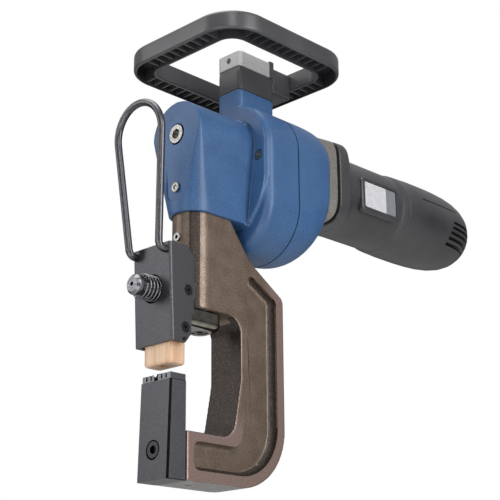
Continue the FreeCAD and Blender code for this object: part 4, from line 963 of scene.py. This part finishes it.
# ---- Motor insides: a universal motor of stacked laminations, copper windings and a fan.
# They keep their CAD shapes and show only through the vents.
# rolled sheet, enamelled wire, pressed carbon and rolled brass, each in its own plain colour
lamination = bare_metal("lamination_steel", "#55565A", "#6E6F73", roughness=0.4, grain_mm=0.5, depth=0.2)
copper = bare_metal("copper_enamelled", "#8A4A28", "#B06A3C", roughness=0.35, grain_mm=0.8, depth=0.2)
carbon = bare_metal("carbon_brush", "#141414", "#202020", roughness=0.6, grain_mm=0.4, depth=0.2)
brass = bare_metal("brass_rolled", "#9C8044", "#BC9E5C", roughness=0.3, grain_mm=1.0, depth=0.1)
for name, material in (("switch_module", polyamide), ("stator_core", lamination), ("stator_windings", copper),
                       ("rotor_shaft", tool_steel), ("rotor_pinion", tool_steel), ("rotor_core", lamination),
                       ("commutator", copper), ("fan", polyamide), ("rotor_bearings", tool_steel),
                       ("carbon_brushes", carbon), ("brush_holders", brass)):
    dressed(name, material)


# ---- Handle: a loop handle moulded as an open channel with cross ribs, on a post of the same
# grained polyamide. A light die-cast block on the post takes the balancer's eye.
handle_grey = grained("polyamide_handle", [(0.3, "#2C2C2E"), (0.7, "#3B3B3D")],
                      {"Specular IOR Level": 0.6}, per_metre=1100.0, detail=2.0, cloud=30.0,
                      gloss=(0.28, 0.44), relief=(0.4, 0.1))

low, high = box_of("handle_post")
waist_z, waist = high.z - 4.5, 1.3
post = slab("handle_post_moulded", "Z", oblong(low.x, low.y, high.x, high.y, 4.0), low.z, high.z)
over = high.z + 1.0
waist_front = block("waist", (low.x - 1.0, low.y - 1.0, waist_z), (high.x + 1.0, low.y + waist, over))
waist_left = block("waist", (low.x - 1.0, low.y - 1.0, waist_z), (low.x + waist, high.y + 1.0, over))
waist_right = block("waist", (high.x - waist, low.y - 1.0, waist_z), (high.x + 1.0, high.y + 1.0, over))
combined(post, "DIFFERENCE", waist_front, waist_left, waist_right)
worked(post, "BEVEL", width=0.5 * MM, segments=3, limit_method="ANGLE", angle_limit=math.radians(50))
done(post, "frame", "handle_plastic", ["handle_post"], handle_grey)

# the block is cast and left bare, so it is pale and barely shiny
light_cast = grained("aluminium_light_cast", [(0.3, "#9A9A9A"), (0.7, "#ABABAB")],
                     {"Metallic": 0.35, "Roughness": 0.5}, per_metre=900.0, detail=2.0, relief=(0.2, 0.08))
low, high = box_of("suspension_block")
hanger = slab("suspension_block_cast", "Z", oblong(low.x, low.y, high.x, high.y, 4.0, 4.0, 1.0, 1.0),
              low.z, high.z)
rounded(hanger, 0.7, lambda edge: abs(edge.verts[0].co.z - edge.verts[1].co.z) < SAME, segments=3)
eye_z = 371.3
eye_thread = lathe("eye_thread", "Y", (0.0, eye_z), [
    (low.y - 2.0, 2.9), (low.y + 0.1, 2.9), (low.y + 0.5, 2.5), (low.y + 20.0, 2.5)], 40)
combined(hanger, "DIFFERENCE", eye_thread)
done(hanger, "frame", "cast_aluminium", ["suspension_block"], light_cast)
done(machined("handle_plate_moulded", "handle_plate", 0.5, handle_grey), "frame", "handle_plastic",
     ["handle_plate"], handle_grey)

low, high = box_of("ring_handle")
ring_low, bar, wall, rib_step, rib_half = 360.7, 20.4, 2.6, 9.0, 0.7


def hoop(name, inset, start, end):
    """The loop's rounded outline, moved in from its outer edge and pulled up."""
    corner = 34.0
    return slab(name, "Z", oblong(
        low.x + inset, low.y + inset, high.x - inset, high.y - inset, corner - inset), start, end)


ring = hoop("ring_handle_moulded", 0.0, ring_low, high.z)
rounded(ring, 2.4, at("Z", ring_low), segments=5)
rounded(ring, 3.2, at("Z", high.z), segments=5)
opening = hoop("opening", bar, ring_low - 5.0, high.z + 5.0)
combined(ring, "DIFFERENCE", opening)
inner_rim = 18.0


def round_opening(edge):
    """The sharp edges of the opening, above and below."""
    return edge.calc_face_angle(0) > 1.2 and all(
        low.x + inner_rim < v.co.x / MM < high.x - inner_rim
        and low.y + inner_rim < v.co.y / MM < high.y - inner_rim for v in edge.verts)


rounded(ring, 1.2, round_opening, segments=3)
channel = hoop("channel", wall, ring_low - 5.0, high.z - 3.0)
island = hoop("island", bar - wall, ring_low - 6.0, high.z + 1.0)
combined(channel, "DIFFERENCE", island)
combined(ring, "DIFFERENCE", channel)
bridge = block("bridge", (-12.0, 114.0, 351.8), (12.0, high.y - bar + 1.0, high.z - 2.0))
worked(bridge, "BEVEL", width=2.0 * MM, segments=4, limit_method="ANGLE", angle_limit=math.radians(50))
combined(ring, "UNION", bridge)
middle_y = (low.y + high.y) / 2
rib_low, rib_high = ring_low + 1.6, high.z - 2.5
for step in range(-5, 6):
    for side_sign in (-1, 1):
        x, y = rib_step * step, middle_y + rib_step * step
        if abs(step) < 5:
            near = low.y + 1.0 if side_sign < 0 else high.y - bar + 1.0
            rib = block("rib", (x - rib_half, near, rib_low), (x + rib_half, near + bar - 2.0, rib_high))
            combined(ring, "UNION", rib)
        left, right = sorted((side_sign * (high.x - 1.0), side_sign * (high.x - bar + 1.0)))
        rib = block("rib", (left, y - rib_half, rib_low), (right, y + rib_half, rib_high))
        combined(ring, "UNION", rib)
done(ring, "frame", "handle_plastic", ["ring_handle"], handle_grey)
